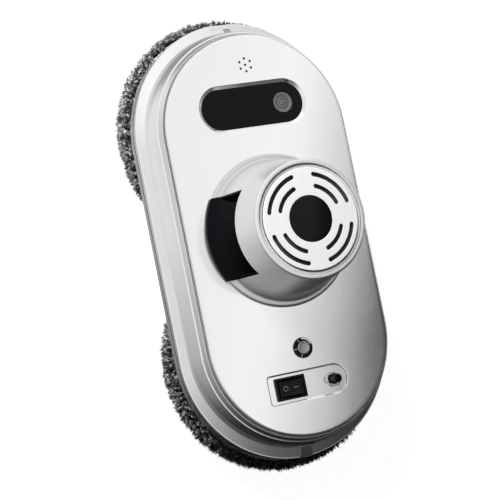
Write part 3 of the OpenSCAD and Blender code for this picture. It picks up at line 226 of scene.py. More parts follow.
class Finishes(bpy.types.PropertyGroup):
    pearl: colour("Pearl", "Side shell, base and handle", (0.86, 0.86, 0.87))
    cover: colour("Cover", "Top cover", (0.86, 0.86, 0.87))
    vent: colour("Vent white", "Vent cap and drum's rim", (0.86, 0.86, 0.86))
    black: colour("Gloss black", "Grips, switch and bezel", (0.004, 0.004, 0.005))
    dull_black: colour("Matt black", "Speaker, fan and cradle", (0.028, 0.028, 0.03))
    window: colour("Window", "Tinted sensor window", (0.003, 0.003, 0.0035))
    lens: colour("Lens", "Smoked lens", (0.09, 0.09, 0.094))
    silver: colour("Button silver", "Start button", (0.42, 0.42, 0.43))
    trim: colour("Trim", "Satin grey parts", (0.50, 0.51, 0.52))
    nylon: colour("Disc plastic", "Pad discs", (0.78, 0.78, 0.77))
    tape: colour("Hook tape", "Hook rings", (0.035, 0.035, 0.04))
    pile_tip: colour("Pile tips", "Tips of the fleece", (0.8, 0.8, 0.805))
    # the roots' near black is painted shade deep in the pile, over the fibres' own dark
    pile_root: colour("Pile roots", "Roots of the fleece", (0.012, 0.012, 0.013))
    steel: colour("Steel", "Screws, pins and shafts", (0.58, 0.58, 0.60))
    nickel: colour("Nickel", "Socket and nut", (0.68, 0.68, 0.69))
    can: colour("Motor can", "Motor cans", (0.58, 0.59, 0.61))
    brass: colour("Brass", "Drive gears", (0.68, 0.50, 0.22))
    gear: colour("Gear nylon", "Idler gears", (0.76, 0.73, 0.64))
    board: colour("Board", "Circuit boards", (0.02, 0.15, 0.06))
    sleeve: colour("Cell sleeve", "Battery cells", (0.035, 0.11, 0.38))
    rubber: colour("Rubber", "Seals", (0.02, 0.02, 0.02))


# Surfaces


class Outline:
    """A closed outline seen from above, of arcs joined by straight runs. Each arc is given
    as centre x, centre y, radius, first and last angle in degrees, and steps."""

    def __init__(self, *arcs):
        parts = [self.arc(*a) for a in arcs]
        self.x, self.y, self.radius, self.angle, self.side = np.concatenate(parts, axis=1)

    @staticmethod
    def arc(x, y, radius, first, last, steps):
        """Columns of centre, radius, angle and end of the body, for angles at even steps. The
        end is 1 or -1 as the arc bulges up or down the body, and 0 for a whole circle."""
        whole = abs(last - first) >= 360
        angle = np.radians(np.linspace(first, last, steps, endpoint=not whole))
        side = np.where(whole, 0.0, np.sign(np.sin(angle.mean())))
        return np.stack([
            np.full_like(angle, x), np.full_like(angle, y), np.full_like(angle, radius),
            angle, np.full_like(angle, side)])

    def rings(self, profile):
        """One ring for each (offset, height, reach): a point lies at its arc's centre, moved
        along the body by the reach, plus (radius + offset) times (cos angle, sin angle)."""
        path = np.asarray(profile, float)
        offset, height = path[:, 0, None], path[:, 1, None]
        reach = path[:, 2, None] if path.shape[1] > 2 else 0.0
        radius = self.radius + offset
        x = self.x + radius * np.cos(self.angle)
        y = self.y + self.side * reach + radius * np.sin(self.angle)
        return np.stack([x, y, np.broadcast_to(height, x.shape)], axis=-1)


def circle(x, y, radius=0.0, steps=ROUND_STEPS):
    """A circle about a point. With no radius a profile's offsets are its rings' radii."""
    return Outline((x, y, radius, 0, 360, steps))


def oval():
    """The body's long oval, whose ends move out by the profile's reach."""
    return Outline((0, 0, 0, 0, 180, OVAL_STEPS), (0, 0, 0, 180, 360, OVAL_STEPS))


def box_outline(left, right, low, high, corner, steps=8):
    """A rectangle with rounded corners."""
    return Outline(
        (right - corner, low + corner, corner, -90, 0, steps),
        (right - corner, high - corner, corner, 0, 90, steps),
        (left + corner, high - corner, corner, 90, 180, steps),
        (left + corner, low + corner, corner, 180, 270, steps))


def corner_arc(before, place, after, bend, steps):
    """The arc of radius bend that touches both sides of a corner. It touches them bend / tan of
    half the corner's angle away, and its centre is bend / sin of that along their middle line.
    The reach goes between its values there on a quadratic curve that aims at the corner's."""
    to_before, to_after = (before - place)[:2], (after - place)[:2]
    back, on = to_before / np.linalg.norm(to_before), to_after / np.linalg.norm(to_after)
    half = np.arccos(np.clip(back @ on, -1, 1)) / 2
    away = bend / np.tan(half)
    centre = place[:2] + (back + on) / np.linalg.norm(back + on) * bend / np.sin(half)
    first, last = place[:2] + back * away - centre, place[:2] + on * away - centre
    turn = np.arctan2(first[0] * last[1] - first[1] * last[0], first @ last)
    t = np.linspace(0, 1, steps)
    angle = np.arctan2(first[1], first[0]) + turn * t
    start, end = (place[2] + (other - place)[2] * away / np.linalg.norm((other - place)[:2])
                  for other in (before, after))
    reach = (1 - t) ** 2 * start + 2 * t * (1 - t) * place[2] + t ** 2 * end
    return np.stack([centre[0] + bend * np.cos(angle), centre[1] + bend * np.sin(angle), reach], axis=1)


def rounded(corners, closed=False, steps=7):
    """A path through corners (offset, height, reach, rounding), each rounded by an arc. The
    ends of an open path and corners without a rounding stay sharp."""
    corners = np.array(corners, float)
    places, bends = corners[:, :3], corners[:, 3].copy()
    if not closed:
        bends[[0, -1]] = 0
    path = []
    for i, (place, bend) in enumerate(zip(places, bends)):
        before, after = places[i - 1], places[(i + 1) % len(places)]
        path.append(corner_arc(before, place, after, bend, steps) if bend > 0 else place[None])
    return np.concatenate(path)


def flat(corners, closed=False, steps=7):
    """rounded() for corners (offset, height, rounding) without a reach."""
    return rounded([(c[0], c[1], 0, c[2]) for c in corners], closed, steps)


def unit(vectors):
    """Each row divided by its length."""
    return vectors / np.linalg.norm(vectors, axis=1, keepdims=True)


def outward(path):
    """Unit normals of a closed path of points that runs anticlockwise."""
    along = np.roll(path, -1, axis=0) - np.roll(path, 1, axis=0)
    return unit(np.stack([along[:, 1], -along[:, 0]], axis=1))


class Skin:
    """Points and faces of a piece, gathered from grids."""

    def __init__(self):
        self.points, self.faces, self.count = [], [], 0

    def grid(self, points, around=True, closed=False, first=False, last=False, flip=False):
        """Quads between neighbours of a grid of points, joined round its columns and, if
        closed, its rows. first and last close the end rings with one face each."""
        rows, columns = points.shape[:2]
        ids = self.count + np.arange(rows * columns).reshape(rows, columns)
        self.points.append(points.reshape(-1, 3))
        self.count += rows * columns
        ends = [ids[0][::-1]] * first + [ids[-1]] * last
        ids = np.concatenate([ids, ids[:, :1]], axis=1) if around else ids
        ids = np.concatenate([ids, ids[:1]], axis=0) if closed else ids
        quads = np.stack([ids[:-1, :-1], ids[:-1, 1:], ids[1:, 1:], ids[1:, :-1]], axis=-1)
        made = [*quads.reshape(-1, 4), *ends]
        self.faces += [f[::-1] for f in made] if flip else made
        return self

    def solid(self, outline, profile):
        """A profile carried round an outline and closed at both ends."""
        return self.grid(outline.rings(profile), first=True, last=True)

    def hoop(self, outline, profile):
        """A closed profile carried round an outline."""
        return self.grid(outline.rings(profile), closed=True)

    def mesh(self, name):
        """A mesh of all the grids."""
        made = bpy.data.meshes.new(name)
        made.from_pydata(np.concatenate(self.points), [], [f.tolist() for f in self.faces])
        made.update()
        return made


def placed(name, mesh):
    """A new object of a mesh, in the scene."""
    made = bpy.data.objects.new(name, mesh)
    bpy.context.scene.collection.objects.link(made)
    return made


def piece(name, skin, body, material, replaces=(), cuts=(), sharp=SHARP_ANGLE, weighted=True):
    """A finished object of a skin: cut, shaded smooth but for its sharp edges, given its
    finish, and set on the body that carries it."""
    made = placed(name, skin.mesh(name))
    for cut in cuts:
        carve(made, cut)
    made.data.shade_smooth()
    made.data.set_sharp_from_angle(angle=sharp)
    if weighted:
        made.modifiers.new("Even shading", "WEIGHTED_NORMAL").keep_sharp = True
    made.data.materials.clear()
    made.data.materials.append(material)
    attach(made, body)
    if replaces:
        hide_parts(*replaces)
    return made


def carve(target, skin):
    """Takes a skin's volume out of an object."""
    cutter = placed("cutter", skin.mesh("cutter"))
    cut = target.modifiers.new("Cut", "BOOLEAN")
    cut.operation, cut.solver, cut.object = "DIFFERENCE", "EXACT", cutter
    left = bpy.data.meshes.new_from_object(target.evaluated_get(bpy.context.evaluated_depsgraph_get()))
    target.modifiers.clear()
    target.data = left
    bpy.data.objects.remove(cutter)
    if len(left.polygons) == 0:
        raise RuntimeError(f"the cut left nothing of {target.name}")


# Finishes


class Wire:
    """An output of a node. Arithmetic on it adds Math nodes."""

    def __init__(self, shader, socket):
        self.shader, self.socket = shader, socket

    def math(self, operation, *values):
        """A Math node's result for these values."""
        return self.shader.node("ShaderNodeMath", {"operation": operation}, dict(enumerate(values)))

    def __add__(self, other):
        return self.math("ADD", self, other)

    __radd__ = __add__

    def __sub__(self, other):
        return self.math("SUBTRACT", self, other)

    def __rsub__(self, other):
        return self.math("SUBTRACT", other, self)

    def __mul__(self, other):
        return self.math("MULTIPLY", self, other)

    __rmul__ = __mul__

    def __truediv__(self, other):
        return self.math("DIVIDE", self, other)

    def __pow__(self, other):
        return self.math("POWER", self, other)

    def __abs__(self):
        return self.math("ABSOLUTE", self)

    def at_least(self, other):
        """The larger of the two."""
        return self.math("MAXIMUM", self, other)

    def fade(self, low, high, start=0.0, end=1.0):
        """From start at low to end at high, smoothly."""
        return self.shader.node(
            "ShaderNodeMapRange", {"interpolation_type": "SMOOTHSTEP", "clamp": True},
            {0: self, 1: low, 2: high, 3: start, 4: end})


class Shader:
    """A material's or world's node tree, made anew."""

    def __init__(self, owner):
        owner.use_nodes = True
        self.owner, self.tree = owner, owner.node_tree
        self.tree.nodes.clear()

    def node(self, kind, settings=None, values=None, output=0):
        """Adds a node, applies its settings and sets or links its sockets."""
        made = self.tree.nodes.new(kind)
        for key, value in (settings or {}).items():
            if key == "stops":
                while len(made.color_ramp.elements) < len(value):
                    made.color_ramp.elements.new(1.0)
                for element, (place, tone) in zip(made.color_ramp.elements, value):
                    element.position, element.color = place, (*tone, 1)
            else:
                setattr(made, key, value)
        for key, value in (values or {}).items():
            if isinstance(value, Wire):
                self.tree.links.new(value.socket, made.inputs[key])
            else:
                made.inputs[key].default_value = value
        return Wire(self, made.outputs[output]) if made.outputs else None

    def place(self):
        """The Object coordinates."""
        return self.node("ShaderNodeTexCoord", output="Object")

    def axes(self):
        """The Object coordinates as three numbers."""
        split = self.node("ShaderNodeSeparateXYZ", None, {0: self.place()}).socket.node
        return [Wire(self, output) for output in split.outputs]

    def noise(self, size, detail=2.0):
        """Clouds of about a size, from 0 to 1."""
        return self.node(
            "ShaderNodeTexNoise", None,
            {"Vector": self.place(), "Scale": 1 / size, "Detail": detail}, "Fac")

    def cells(self, size):
        """Distance from the nearest of points strewn about a size apart."""
        return self.node(
            "ShaderNodeTexVoronoi", None, {"Vector": self.place(), "Scale": 1 / size}, "Distance")

    def ramp(self, share, stops):
        """Greys at places along a share, with straight runs between them."""
        stops = [(place, (tone,) * 3) for place, tone in stops]
        return self.node("ShaderNodeValToRGB", {"stops": stops}, {"Fac": share})

    def blend(self, share, one, other):
        """Colour from one to the other by a share."""
        tones = {6: rgba(one), 7: rgba(other)}
        return self.node("ShaderNodeMix", {"data_type": "RGBA"}, {0: share, **tones}, 2)

    def bump(self, height, depth, strength=1.0):
        """The normal of a surface that a height raises by up to a depth."""
        return self.node("ShaderNodeBump", None, {"Height": height, "Distance": depth, "Strength": strength})

    def glow(self, strength):
        """White light given off by a surface."""
        return self.node("ShaderNodeEmission", None, {"Color": WHITE, "Strength": strength})

    def seen(self):
        """One for rays from the camera and for those mirrored or let through."""
        outputs = self.node("ShaderNodeLightPath").socket.node.outputs
        camera, mirrored, through = (
            Wire(self, outputs[f"Is {kind} Ray"]) for kind in ("Camera", "Glossy", "Transmission"))
        return camera.at_least(mirrored).at_least(through)

    def finish(self, surface, kind="Material"):
        """Joins a surface to the output and gives the material or world."""
        self.node("ShaderNodeOutput" + kind, None, {"Surface": surface})
        return self.owner

    def surface(self, **values):
        """The principled surface of the material. Underscores in the names are spaces."""
        made = self.node(
            "ShaderNodeBsdfPrincipled", None,
            {key.replace("_", " "): rgba(v) if key == "Base_Color" else v for key, v in values.items()})
        return self.finish(made)


def rgba(tone):
    """A colour with its alpha, or a link as it is."""
    return tone if isinstance(tone, Wire) else (*tone, 1.0)


def new_shader(name):
    """A new material, ready for its nodes."""
    return Shader(bpy.data.materials.new(name))


def tint(tone, share):
    """A colour made lighter or darker by a share."""
    return tuple(min(1.0, c * share) for c in tone)


def pearl(name, tone, metallic=0.95, roughness=0.3):
    """Pearl lacquer: fine mica clouds in the colour and roughness under a clear coat."""
    s = new_shader(name)
    mica = s.noise(0.5 * MM, 3.0)
    drift = s.noise(30 * MM, 2.0)
    base = s.blend(mica * 0.5 + drift * 0.5, tint(tone, 0.975), tint(tone, 1.02))
    return s.surface(
        Base_Color=base, Metallic=metallic, Roughness=mica * 0.06 + drift * 0.04 + (roughness - 0.05),
        Normal=s.bump(s.noise(9 * MM, 1.0), 0.02 * MM, 0.5),
        Coat_Weight=0.15, Coat_Roughness=0.05)


def pearl_with_painted_shade(name, tone, plain, deep, metallic=0.7):
    """Pearl that is as toned at one height and dark at another: painted shade, as in a seam or a slot."""
    s = new_shader(name)
    height = s.axes()[2]
    # painted shade: the colour goes dark by height alone, where a gap or slot would lie in shade
    painted_shade = height.fade(deep, plain, 1.0, 0.0) if plain > deep else height.fade(plain, deep)
    return s.surface(
        Base_Color=s.blend(painted_shade, tone, tint(tone, 0.04)), Metallic=metallic, Roughness=0.35,
        Normal=s.bump(s.noise(0.6 * MM), 0.004 * MM))


def gloss(name, tone, roughness=0.16, grain=0.004, shine=0.2):
    """Polished plastic with a faint haze of handling and moulding ripple."""
    s = new_shader(name)
    haze = s.noise(6 * MM, 4.0)
    return s.surface(
        Base_Color=s.blend(haze, tint(tone, 0.8), tint(tone, 1.25)),
        Roughness=haze.fade(0.35, 0.75, roughness - 0.04, roughness + 0.07),
        Normal=s.bump(s.noise(12 * MM, 1.0), grain * MM, 0.4), Specular_IOR_Level=shine)


def matt(name, tone, roughness=0.55):
    """Moulded plastic with a fine spark-eroded texture."""
    s = new_shader(name)
    spark = s.noise(0.35 * MM, 3.0)
    drift = s.noise(8 * MM, 2.0)
    return s.surface(
        Base_Color=s.blend(spark * 0.6 + drift * 0.4, tint(tone, 0.88), tint(tone, 1.1)),
        Roughness=spark * 0.14 + (roughness - 0.07), Normal=s.bump(spark, 0.03 * MM, 0.6))


def metal(name, tone, roughness=0.25, stretch=(1, 1, 30)):
    """Metal with fine drawn lines, longest along the axis that is stretched least."""
    s = new_shader(name)
    lines = s.node(
        "ShaderNodeTexNoise", None,
        {"Vector": s.node("ShaderNodeMapping", None, {"Vector": s.place(), "Scale": stretch}),
         "Scale": 1 / (0.25 * MM), "Detail": 3.0})
    wear = s.noise(4 * MM, 3.0)
    return s.surface(
        Base_Color=s.blend(lines * 0.6 + wear * 0.4, tint(tone, 0.86), tint(tone, 1.1)), Metallic=1.0,
        Roughness=lines * 0.12 + wear * 0.08 + (roughness - 0.1), Normal=s.bump(lines, 0.01 * MM, 0.5))


def hook_tape(name, tone):
    """Tiny hooks strewn over a woven ground."""
    s = new_shader(name)
    hooks = s.cells(0.9 * MM)
    return s.surface(
        Base_Color=s.blend(hooks.fade(0.1, 0.6), tint(tone, 2.2), tint(tone, 0.6)), Roughness=0.75,
        Normal=s.bump(hooks.fade(0.0, 0.7, 1.0, 0.0), 0.4 * MM))


def rubber(name, tone, cell=0.6, depth=0.05):
    """Rubber or open foam with pores."""
    s = new_shader(name)
    pores = s.cells(cell * MM)
    return s.surface(
        Base_Color=s.blend(pores.fade(0.0, 0.6), tint(tone, 0.4), tint(tone, 1.7)),
        Roughness=pores * 0.2 + 0.7, Normal=s.bump(pores, depth * MM))


def circuit(name, tone):
    """Green lacquer over lighter copper tracks laid in a rectangular pattern."""
    s = new_shader(name)
    tracks = s.node(
        "ShaderNodeTexBrick", {"offset": 0.37, "squash": 0.6, "squash_frequency": 3},
        {"Vector": s.place(), "Scale": 1 / (4 * MM), "Mortar Size": 0.06, "Mortar Smooth": 0.1}, "Fac")
    speck = s.noise(1.2 * MM, 2.0)
    return s.surface(
        Base_Color=s.blend(tracks * 0.7 + speck * 0.2, tint(tone, 0.9), tint(tone, 1.9)),
        Roughness=speck * 0.15 + 0.28, Normal=s.bump(tracks, 0.03 * MM))


def fleece(name, root, tip):
    """Pile that lightens from its root to its tip, by the strand's own attributes: painted shade
    deep in the pile. Its dark and light tufts among one another are the fleece's own mix of fibres."""
    s = new_shader(name)
    along = s.node("ShaderNodeAttribute", {"attribute_name": "along"}, output="Fac")
    tuft = s.node("ShaderNodeAttribute", {"attribute_name": "tuft"}, output="Fac")
    # painted shade: strands go dark towards their roots; the tuft's tone is the fibres' own mix of dark and
    # light
    light = along.fade(0.2, 0.9, 0.0, 1.0) * tuft
    return s.surface(
        Base_Color=s.blend(light, root, tip), Roughness=0.85, Sheen_Weight=0.15, Sheen_Roughness=0.5,
        Specular_IOR_Level=0.15)


def backing(name, root, tip):
    """The fleece's ground, near the roots' black: painted shade between its tufts."""
    s = new_shader(name)
    knots = s.cells(2.2 * MM)
    return s.surface(
        Base_Color=s.blend(knots.fade(0.2, 0.8, 0.10, 0.0), root, tip), Roughness=0.95,
        Normal=s.bump(knots.fade(0.0, 0.7, 1.0, 0.0), 0.8 * MM), Specular_IOR_Level=0.1)


def smoked_lens(name, tone, centre, radius):
    """Smoked grey with two darker rings about a centre, at shares of the radius."""
    s = new_shader(name)
    distance = s.node(
        "ShaderNodeVectorMath", {"operation": "DISTANCE"},
        {0: s.node("ShaderNodeVectorMath", {"operation": "MULTIPLY"}, {0: s.place(), 1: (1, 1, 0)}),
         1: (*centre, 0)}, "Value")
    share = distance / radius
    inner = abs(share - 0.33).fade(0.02, 0.07, 1.0, 0.0)
    outer = abs(share - 0.62).fade(0.02, 0.08, 1.0, 0.0)
    ring = inner.at_least(outer)
    return s.surface(
        Base_Color=s.blend(ring, tone, tint(tone, 0.45)), Roughness=s.noise(2 * MM) * 0.1 + 0.2)


def finishes(context):
    """Every finish by its material slot or its own name, made once."""
    scene = context.scene
    t = scene.robot_finishes
    panel, strip, rim = scene.robot_panel, scene.robot_body.strip_top, scene.robot_handle.top
    makers = {
        "pearl_plastic": lambda n: pearl(n, t.pearl),
        "cover_plastic": lambda n: pearl(n, t.cover, 0.92, 0.1),
        # base tray: painted shade, dark at the top of its strip in the gap under the flange
        "base_tray": lambda n: pearl_with_painted_shade(n, tint(t.pearl, 0.62), strip - 0.7 * MM, strip - 0.3 * MM),
        "gloss_black": lambda n: gloss(n, t.black, shine=0.12),
        "grip_black": lambda n: gloss(n, t.black, 0.3, shine=0.015),
        # vent cap: painted shade, dark below its face and down the walls of its slots
        "vent_white": lambda n: pearl_with_painted_shade(n, t.vent, rim - 0.2 * MM, rim - 0.45 * MM, 0.45),
        "matt_black": lambda n: matt(n, t.dull_black),
        "tinted_window": lambda n: gloss(n, t.window, 0.08, 0.001, 0.09),
        "sensor_grey": lambda n: smoked_lens(
            n, t.lens, (panel.lens_place, panel.window_place), panel.lens_radius),
        "button_silver": lambda n: metal(n, t.silver, 0.38, (1, 30, 1)),
        "trim_grey": lambda n: matt(n, t.trim, 0.42),
        # collar ring: a darker copy of the pearl, painted shade on the rounded ring at the drum's foot
        "ring_pearl": lambda n: pearl(n, tint(t.pearl, 0.78)),
        "mark_grey": lambda n: matt(n, tint(t.trim, 0.3), 0.42),
        "tab_white": lambda n: matt(n, tint(t.vent, 1.05), 0.4),
        "dark_nickel": lambda n: metal(n, tint(t.nickel, 0.06), 0.2, (1, 1, 4)),
        "nut_nickel": lambda n: metal(n, tint(t.nickel, 0.8), 0.1, (1, 1, 4)),
        "disc_plastic": lambda n: matt(n, t.nylon, 0.45),
        "hook_tape": lambda n: hook_tape(n, t.tape),
        "microfibre": lambda n: fleece(n, t.pile_root, t.pile_tip),
        "steel": lambda n: metal(n, t.steel),
        "nickel": lambda n: metal(n, t.nickel, 0.16, (1, 1, 4)),
        "motor_can": lambda n: metal(n, t.can, 0.34),
        "brass_gear": lambda n: metal(n, t.brass, 0.3, (1, 1, 8)),
        "gear_nylon": lambda n: matt(n, t.gear, 0.5),
        "board": lambda n: circuit(n, t.board),
        "cell_wrap": lambda n: gloss(n, t.sleeve, 0.3, 0.03),
        "soft_seal": lambda n: rubber(n, t.rubber),
        "foam": lambda n: rubber(n, t.dull_black, 1.4, 0.5),
    }
    made = bpy.data.materials
    return {slot: made.get(slot + "_finish") or make(slot + "_finish") for slot, make in makers.items()}


# Casings


def shell_face(body):
    """Outer face of the side shell as (radius, height, reach): up the flange, over its ledge and
    chamfer to the wall's foot, up the leaning wall, over the ridge and into the cover's groove."""
    flange, foot, ridge = body.flange_radius, body.wall_radius, body.shoulder_radius
    landing, groove = body.landing_radius, body.cover_under - 2.2 * MM
    reach, end = body.flange_reach, body.wall_reach
    edge, crease = 0.5 * MM, 0.3 * MM
    lean, belly = 0.9 * MM, 26 * MM
    return rounded([
        (body.lip_radius + 2 * FIT, body.flange_under, reach, 0),
        (flange, body.flange_under, reach, edge),
        (flange, body.flange_top, reach, edge),
        (flange - body.ledge, body.flange_top, reach, crease),
        (foot, body.wall_foot, end, crease),
        (foot - lean, (body.wall_foot + body.shoulder_height) / 2, end, belly),
        (ridge, body.shoulder_height, end, 0.35 * MM),
        (ridge - 0.8 * MM, body.shoulder_height + 0.25 * MM, end, 0.4 * MM),
        (landing + 0.3 * MM, body.cover_under - 1.1 * MM, end, crease),
        (landing - 0.5 * MM, groove, end, 0.2 * MM),
        (landing - 3 * MM, groove, end, 0)], steps=9)


def hollow_back(body):
    """Inner face of the side shell, from the landing down to the flange."""
    t, end = body.wall_thickness, body.wall_reach
    landing = body.landing_radius - 3 * MM
    rib = landing - 1.2 * MM
    return np.array([
        (landing, body.cover_under, end),
        (rib, body.cover_under, end),
        (rib, body.cover_under - 2 * t, end),
        (body.shoulder_radius - t, body.shoulder_height - t / 2, end),
        (body.wall_radius - t, body.wall_foot, end),
        (body.wall_radius - t, body.wall_foot - t, end),
        (body.lip_radius + 2 * FIT, body.flange_top, body.flange_reach)])


class ROBOT_OT_side_shell(bpy.types.Operator):
    """Build the side shell, with the notch that holds the rope bar"""
    bl_idname = "robot.side_shell"
    bl_label = "Side shell"

    def execute(self, context):
        body = context.scene.robot_body
        pearly = finishes(context)["pearl_plastic"]
        end = body.flange_reach + body.flange_radius
        back = end - body.notch_depth
        half, wall = body.notch_width / 2, 2 * MM
        notch = Skin().solid(
            box_outline(-half, half, back, end + 2 * PAST, 0.6 * MM),
            [(0, body.flange_under - PAST), (0, body.notch_top)])
        skin = Skin().hoop(oval(), np.concatenate([shell_face(body), hollow_back(body)]))
        piece("side_shell_skin", skin, "body", pearly, ["side_shell"], [notch])
        pocket = Skin().solid(
            box_outline(-half - wall, half + wall, back - wall, end - 1.2 * MM, 0.8 * MM),
            [(0, body.flange_under), (0, body.notch_top + 1.4 * MM)])
        piece("rope_pocket", pocket, "body", pearly, cuts=[notch])
        return {"FINISHED"}


class ROBOT_OT_base_tray(bpy.types.Operator):
    """Build the base tray with its strip, lip, hub holes, screw holes and sensor holes"""
    bl_idname = "robot.base_tray"
    bl_label = "Base tray"

    def execute(self, context):
        body = context.scene.robot_body
        reach, under, floor = body.flange_reach, body.base_under, body.base_floor
        lip, inside = body.lip_radius, body.lip_radius - body.wall_thickness
        edge, crease = 0.5 * MM, 0.3 * MM
        skin = Skin().solid(oval(), rounded([
            (body.strip_radius - 2 * MM, under, reach, 0),
            (body.strip_radius, under, reach, 0.9 * MM),
            (body.strip_radius, body.strip_top, reach, edge),
            (lip, body.strip_top, reach, crease),
            (lip, body.lip_top, reach, crease),
            (inside, body.lip_top, reach, crease),
            (inside, floor, reach, edge),
            (inside - body.wall_thickness, floor, reach, 0)]))
        holes = Skin()
        through = [(0, under - PAST), (0, floor + PAST)]
        low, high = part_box("edge_sensors")
        sensor_x, sensor_y = high.x - body.sensor_hole + FIT, (low.y + high.y) / 2
        for side in (-1, 1):
            holes.solid(circle(0, side * body.pad_place, body.hub_hole, RING_STEPS), through)
            holes.solid(circle(side * sensor_x, sensor_y, body.sensor_hole, HOLE_STEPS), through)
        sunk = [(0, under - PAST), (0, under + body.screw_sink - 0.1 * FIT)]
        for x, y in screw_places(body):
            holes.solid(circle(x, y, body.screw_hole, PIN_STEPS), sunk)
        piece("base_tray", skin, "body", finishes(context)["base_tray"],
              ["base_plate"], [holes])
        return {"FINISHED"}


def screw_places(body):
    """Places of the case screws: four beside the waist and four in the ends."""
    side_x, side_y = body.wall_radius - 7.2 * MM, 20 * MM
    end_radius, turn = body.wall_radius - 6.7 * MM, radians(50)
    end = (end_radius * cos(turn), body.wall_reach + end_radius * sin(turn))
    return [(sx * x, sy * y) for x, y in ((side_x, side_y), end) for sx in (-1, 1) for sy in (-1, 1)]


def window_outline(panel, grow=0.0):
    """The window's long oval across the body."""
    r = panel.window_radius + grow
    return Outline(
        (panel.window_reach, panel.window_place, r, -90, 90, 40),
        (-panel.window_reach, panel.window_place, r, 90, 270, 40))


def recess_outline(panel):
    """The control panel's outline: two small corners at the left, a half circle at the right."""
    y, r, corner = panel.recess_place, panel.recess_radius, panel.recess_corner
    x = panel.recess_left + corner
    return Outline(
        (panel.recess_right, y, r, -90, 90, 48),
        (x, y + r - corner, corner, 90, 180, 12),
        (x, y - r + corner, corner, 180, 270, 12))


def switch_outline(panel, grow, corner, steps):
    """The switch frame's rectangle, grown on every side."""
    half_x, half_y = panel.switch_length / 2 + grow, panel.switch_width / 2 + grow
    return box_outline(
        panel.switch_place - half_x, panel.switch_place + half_x,
        panel.recess_place - half_y, panel.recess_place + half_y, corner, steps)


def flare(from_z, top_z, edge, foot=0.0, steps=6):
    """Profile of a cut: a rounded foot, a straight side and a top edge that flares out as a
    quarter arc and goes on above the face."""
    t = np.linspace(0, pi / 2, steps)
    low = np.stack([-foot + foot * np.sin(t), from_z + foot - foot * np.cos(t)], axis=1)
    high = np.stack([edge - edge * np.cos(t), top_z - edge + edge * np.sin(t)], axis=1)
    parts = [low] if foot > 0 else [np.array([[0, from_z]])]
    return np.concatenate([*parts, high, [[edge, top_z + PAST]]])


class ROBOT_OT_top_cover(bpy.types.Operator):
    """Build the top cover with its window bevel, speaker holes, panel recess and openings"""
    bl_idname = "robot.top_cover"
    bl_label = "Top cover"

    def execute(self, context):
        body, panel, handle = (
            context.scene.robot_body, context.scene.robot_panel, context.scene.robot_handle)
        radius, reach, step = body.cover_radius, body.wall_reach, 0.6 * MM
        top, under = body.cover_top, body.cover_under
        skin = Skin().solid(oval(), rounded([
            (radius - 5 * step, under, reach, 0),
            (radius - step, under, reach, 0),
            (radius - step, under + step, reach, 0),
            (radius, under + step, reach, 0),
            (radius, top, reach, body.cover_edge),
            (radius - 4 * MM, top, reach, 0)], steps=10))
        through = flare(under - PAST, top, FIT)
        cuts = Skin()
        cuts.solid(window_outline(panel, 0.12 * MM), self.bevel(body, panel))
        speaker = [(0, 0), *((panel.sound_ring, radians(90 + 60 * i)) for i in range(6))]
        for ring, turn in speaker:
            x, y = ring * cos(turn), panel.speaker_place + ring * sin(turn)
            cuts.solid(circle(x, y, panel.sound_hole, steps=24), flare(under - PAST, top, 0.12 * MM))
        cuts.solid(circle(0, panel.button_place, panel.button_radius + 1 * MM, steps=48), through)
        cuts.solid(circle(0, handle.place, handle.fan_hole, RING_STEPS), through)
        cuts.solid(recess_outline(panel), flare(panel.recess_floor, top, 0.75 * MM, 0.4 * MM))
        openings = Skin()
        below = [(0, under - PAST), (0, panel.recess_floor + PAST / 2)]
        socket = circle(panel.socket_place, panel.recess_place, panel.socket_radius + FIT, HOLE_STEPS)
        openings.solid(switch_outline(panel, -0.9 * MM, 0.4 * MM, 8), below)
        openings.solid(socket, below)
        piece("top_cover_skin", skin, "body", finishes(context)["cover_plastic"],
              ["top_cover"], [cuts, openings])
        return {"FINISHED"}

    @staticmethod
    def bevel(body, panel):
        """Profile of the window's opening: straight up to its face, then a slope with a rounded
        top, which runs on a hair above the cover's face."""
        width, top = panel.window_bevel, body.cover_top
        past = width + 2 * (top - panel.window_face)
        return rounded([
            (0, body.cover_under - PAST, 0, 0),
            (0, panel.window_face, 0, 0.2 * MM),
            (width, top, 0, 0.9 * MM),
            (past, top + 0.001 * MM, 0, 0),
            (past, top + PAST, 0, 0)])


def patch(body, end, foot, top, proud, steps=12):
    """A face laid on the side shell's end, whose foot and top are (left, right, height). A point
    at (x, height) lies where the shell's oval has that x: end * (reach + sqrt(r^2 - x^2))."""
    v, u = np.meshgrid(np.linspace(0, 1, steps), np.linspace(0, 1, steps), indexing="ij")
    left, right = foot[0] + (top[0] - foot[0]) * v, foot[1] + (top[1] - foot[1]) * v
    x, z = left + (right - left) * u, foot[2] + (top[2] - foot[2]) * v
    face = shell_face(body)
    face = face[np.argsort(face[:, 1], kind="stable")]
    radius, reach = (np.interp(z, face[:, 1], face[:, column]) for column in (0, 2))
    y = end * (reach + np.sqrt(radius ** 2 - x ** 2) + proud)
    return np.stack([x, y, z], axis=-1)


def plate(points, back, flip=False):
    """A closed plate between two grids of the same corners, with walls round its rim."""
    skin = Skin()
    skin.grid(points, around=False, flip=flip).grid(back, around=False, flip=not flip)

    def rim(grid):
        """A grid's border, round from its first corner."""
        return np.concatenate([grid[0], grid[1:, -1], grid[-1, -2::-1], grid[-2:0:-1, 0]])

    return skin.grid(np.stack([rim(back), rim(points)]), flip=flip)


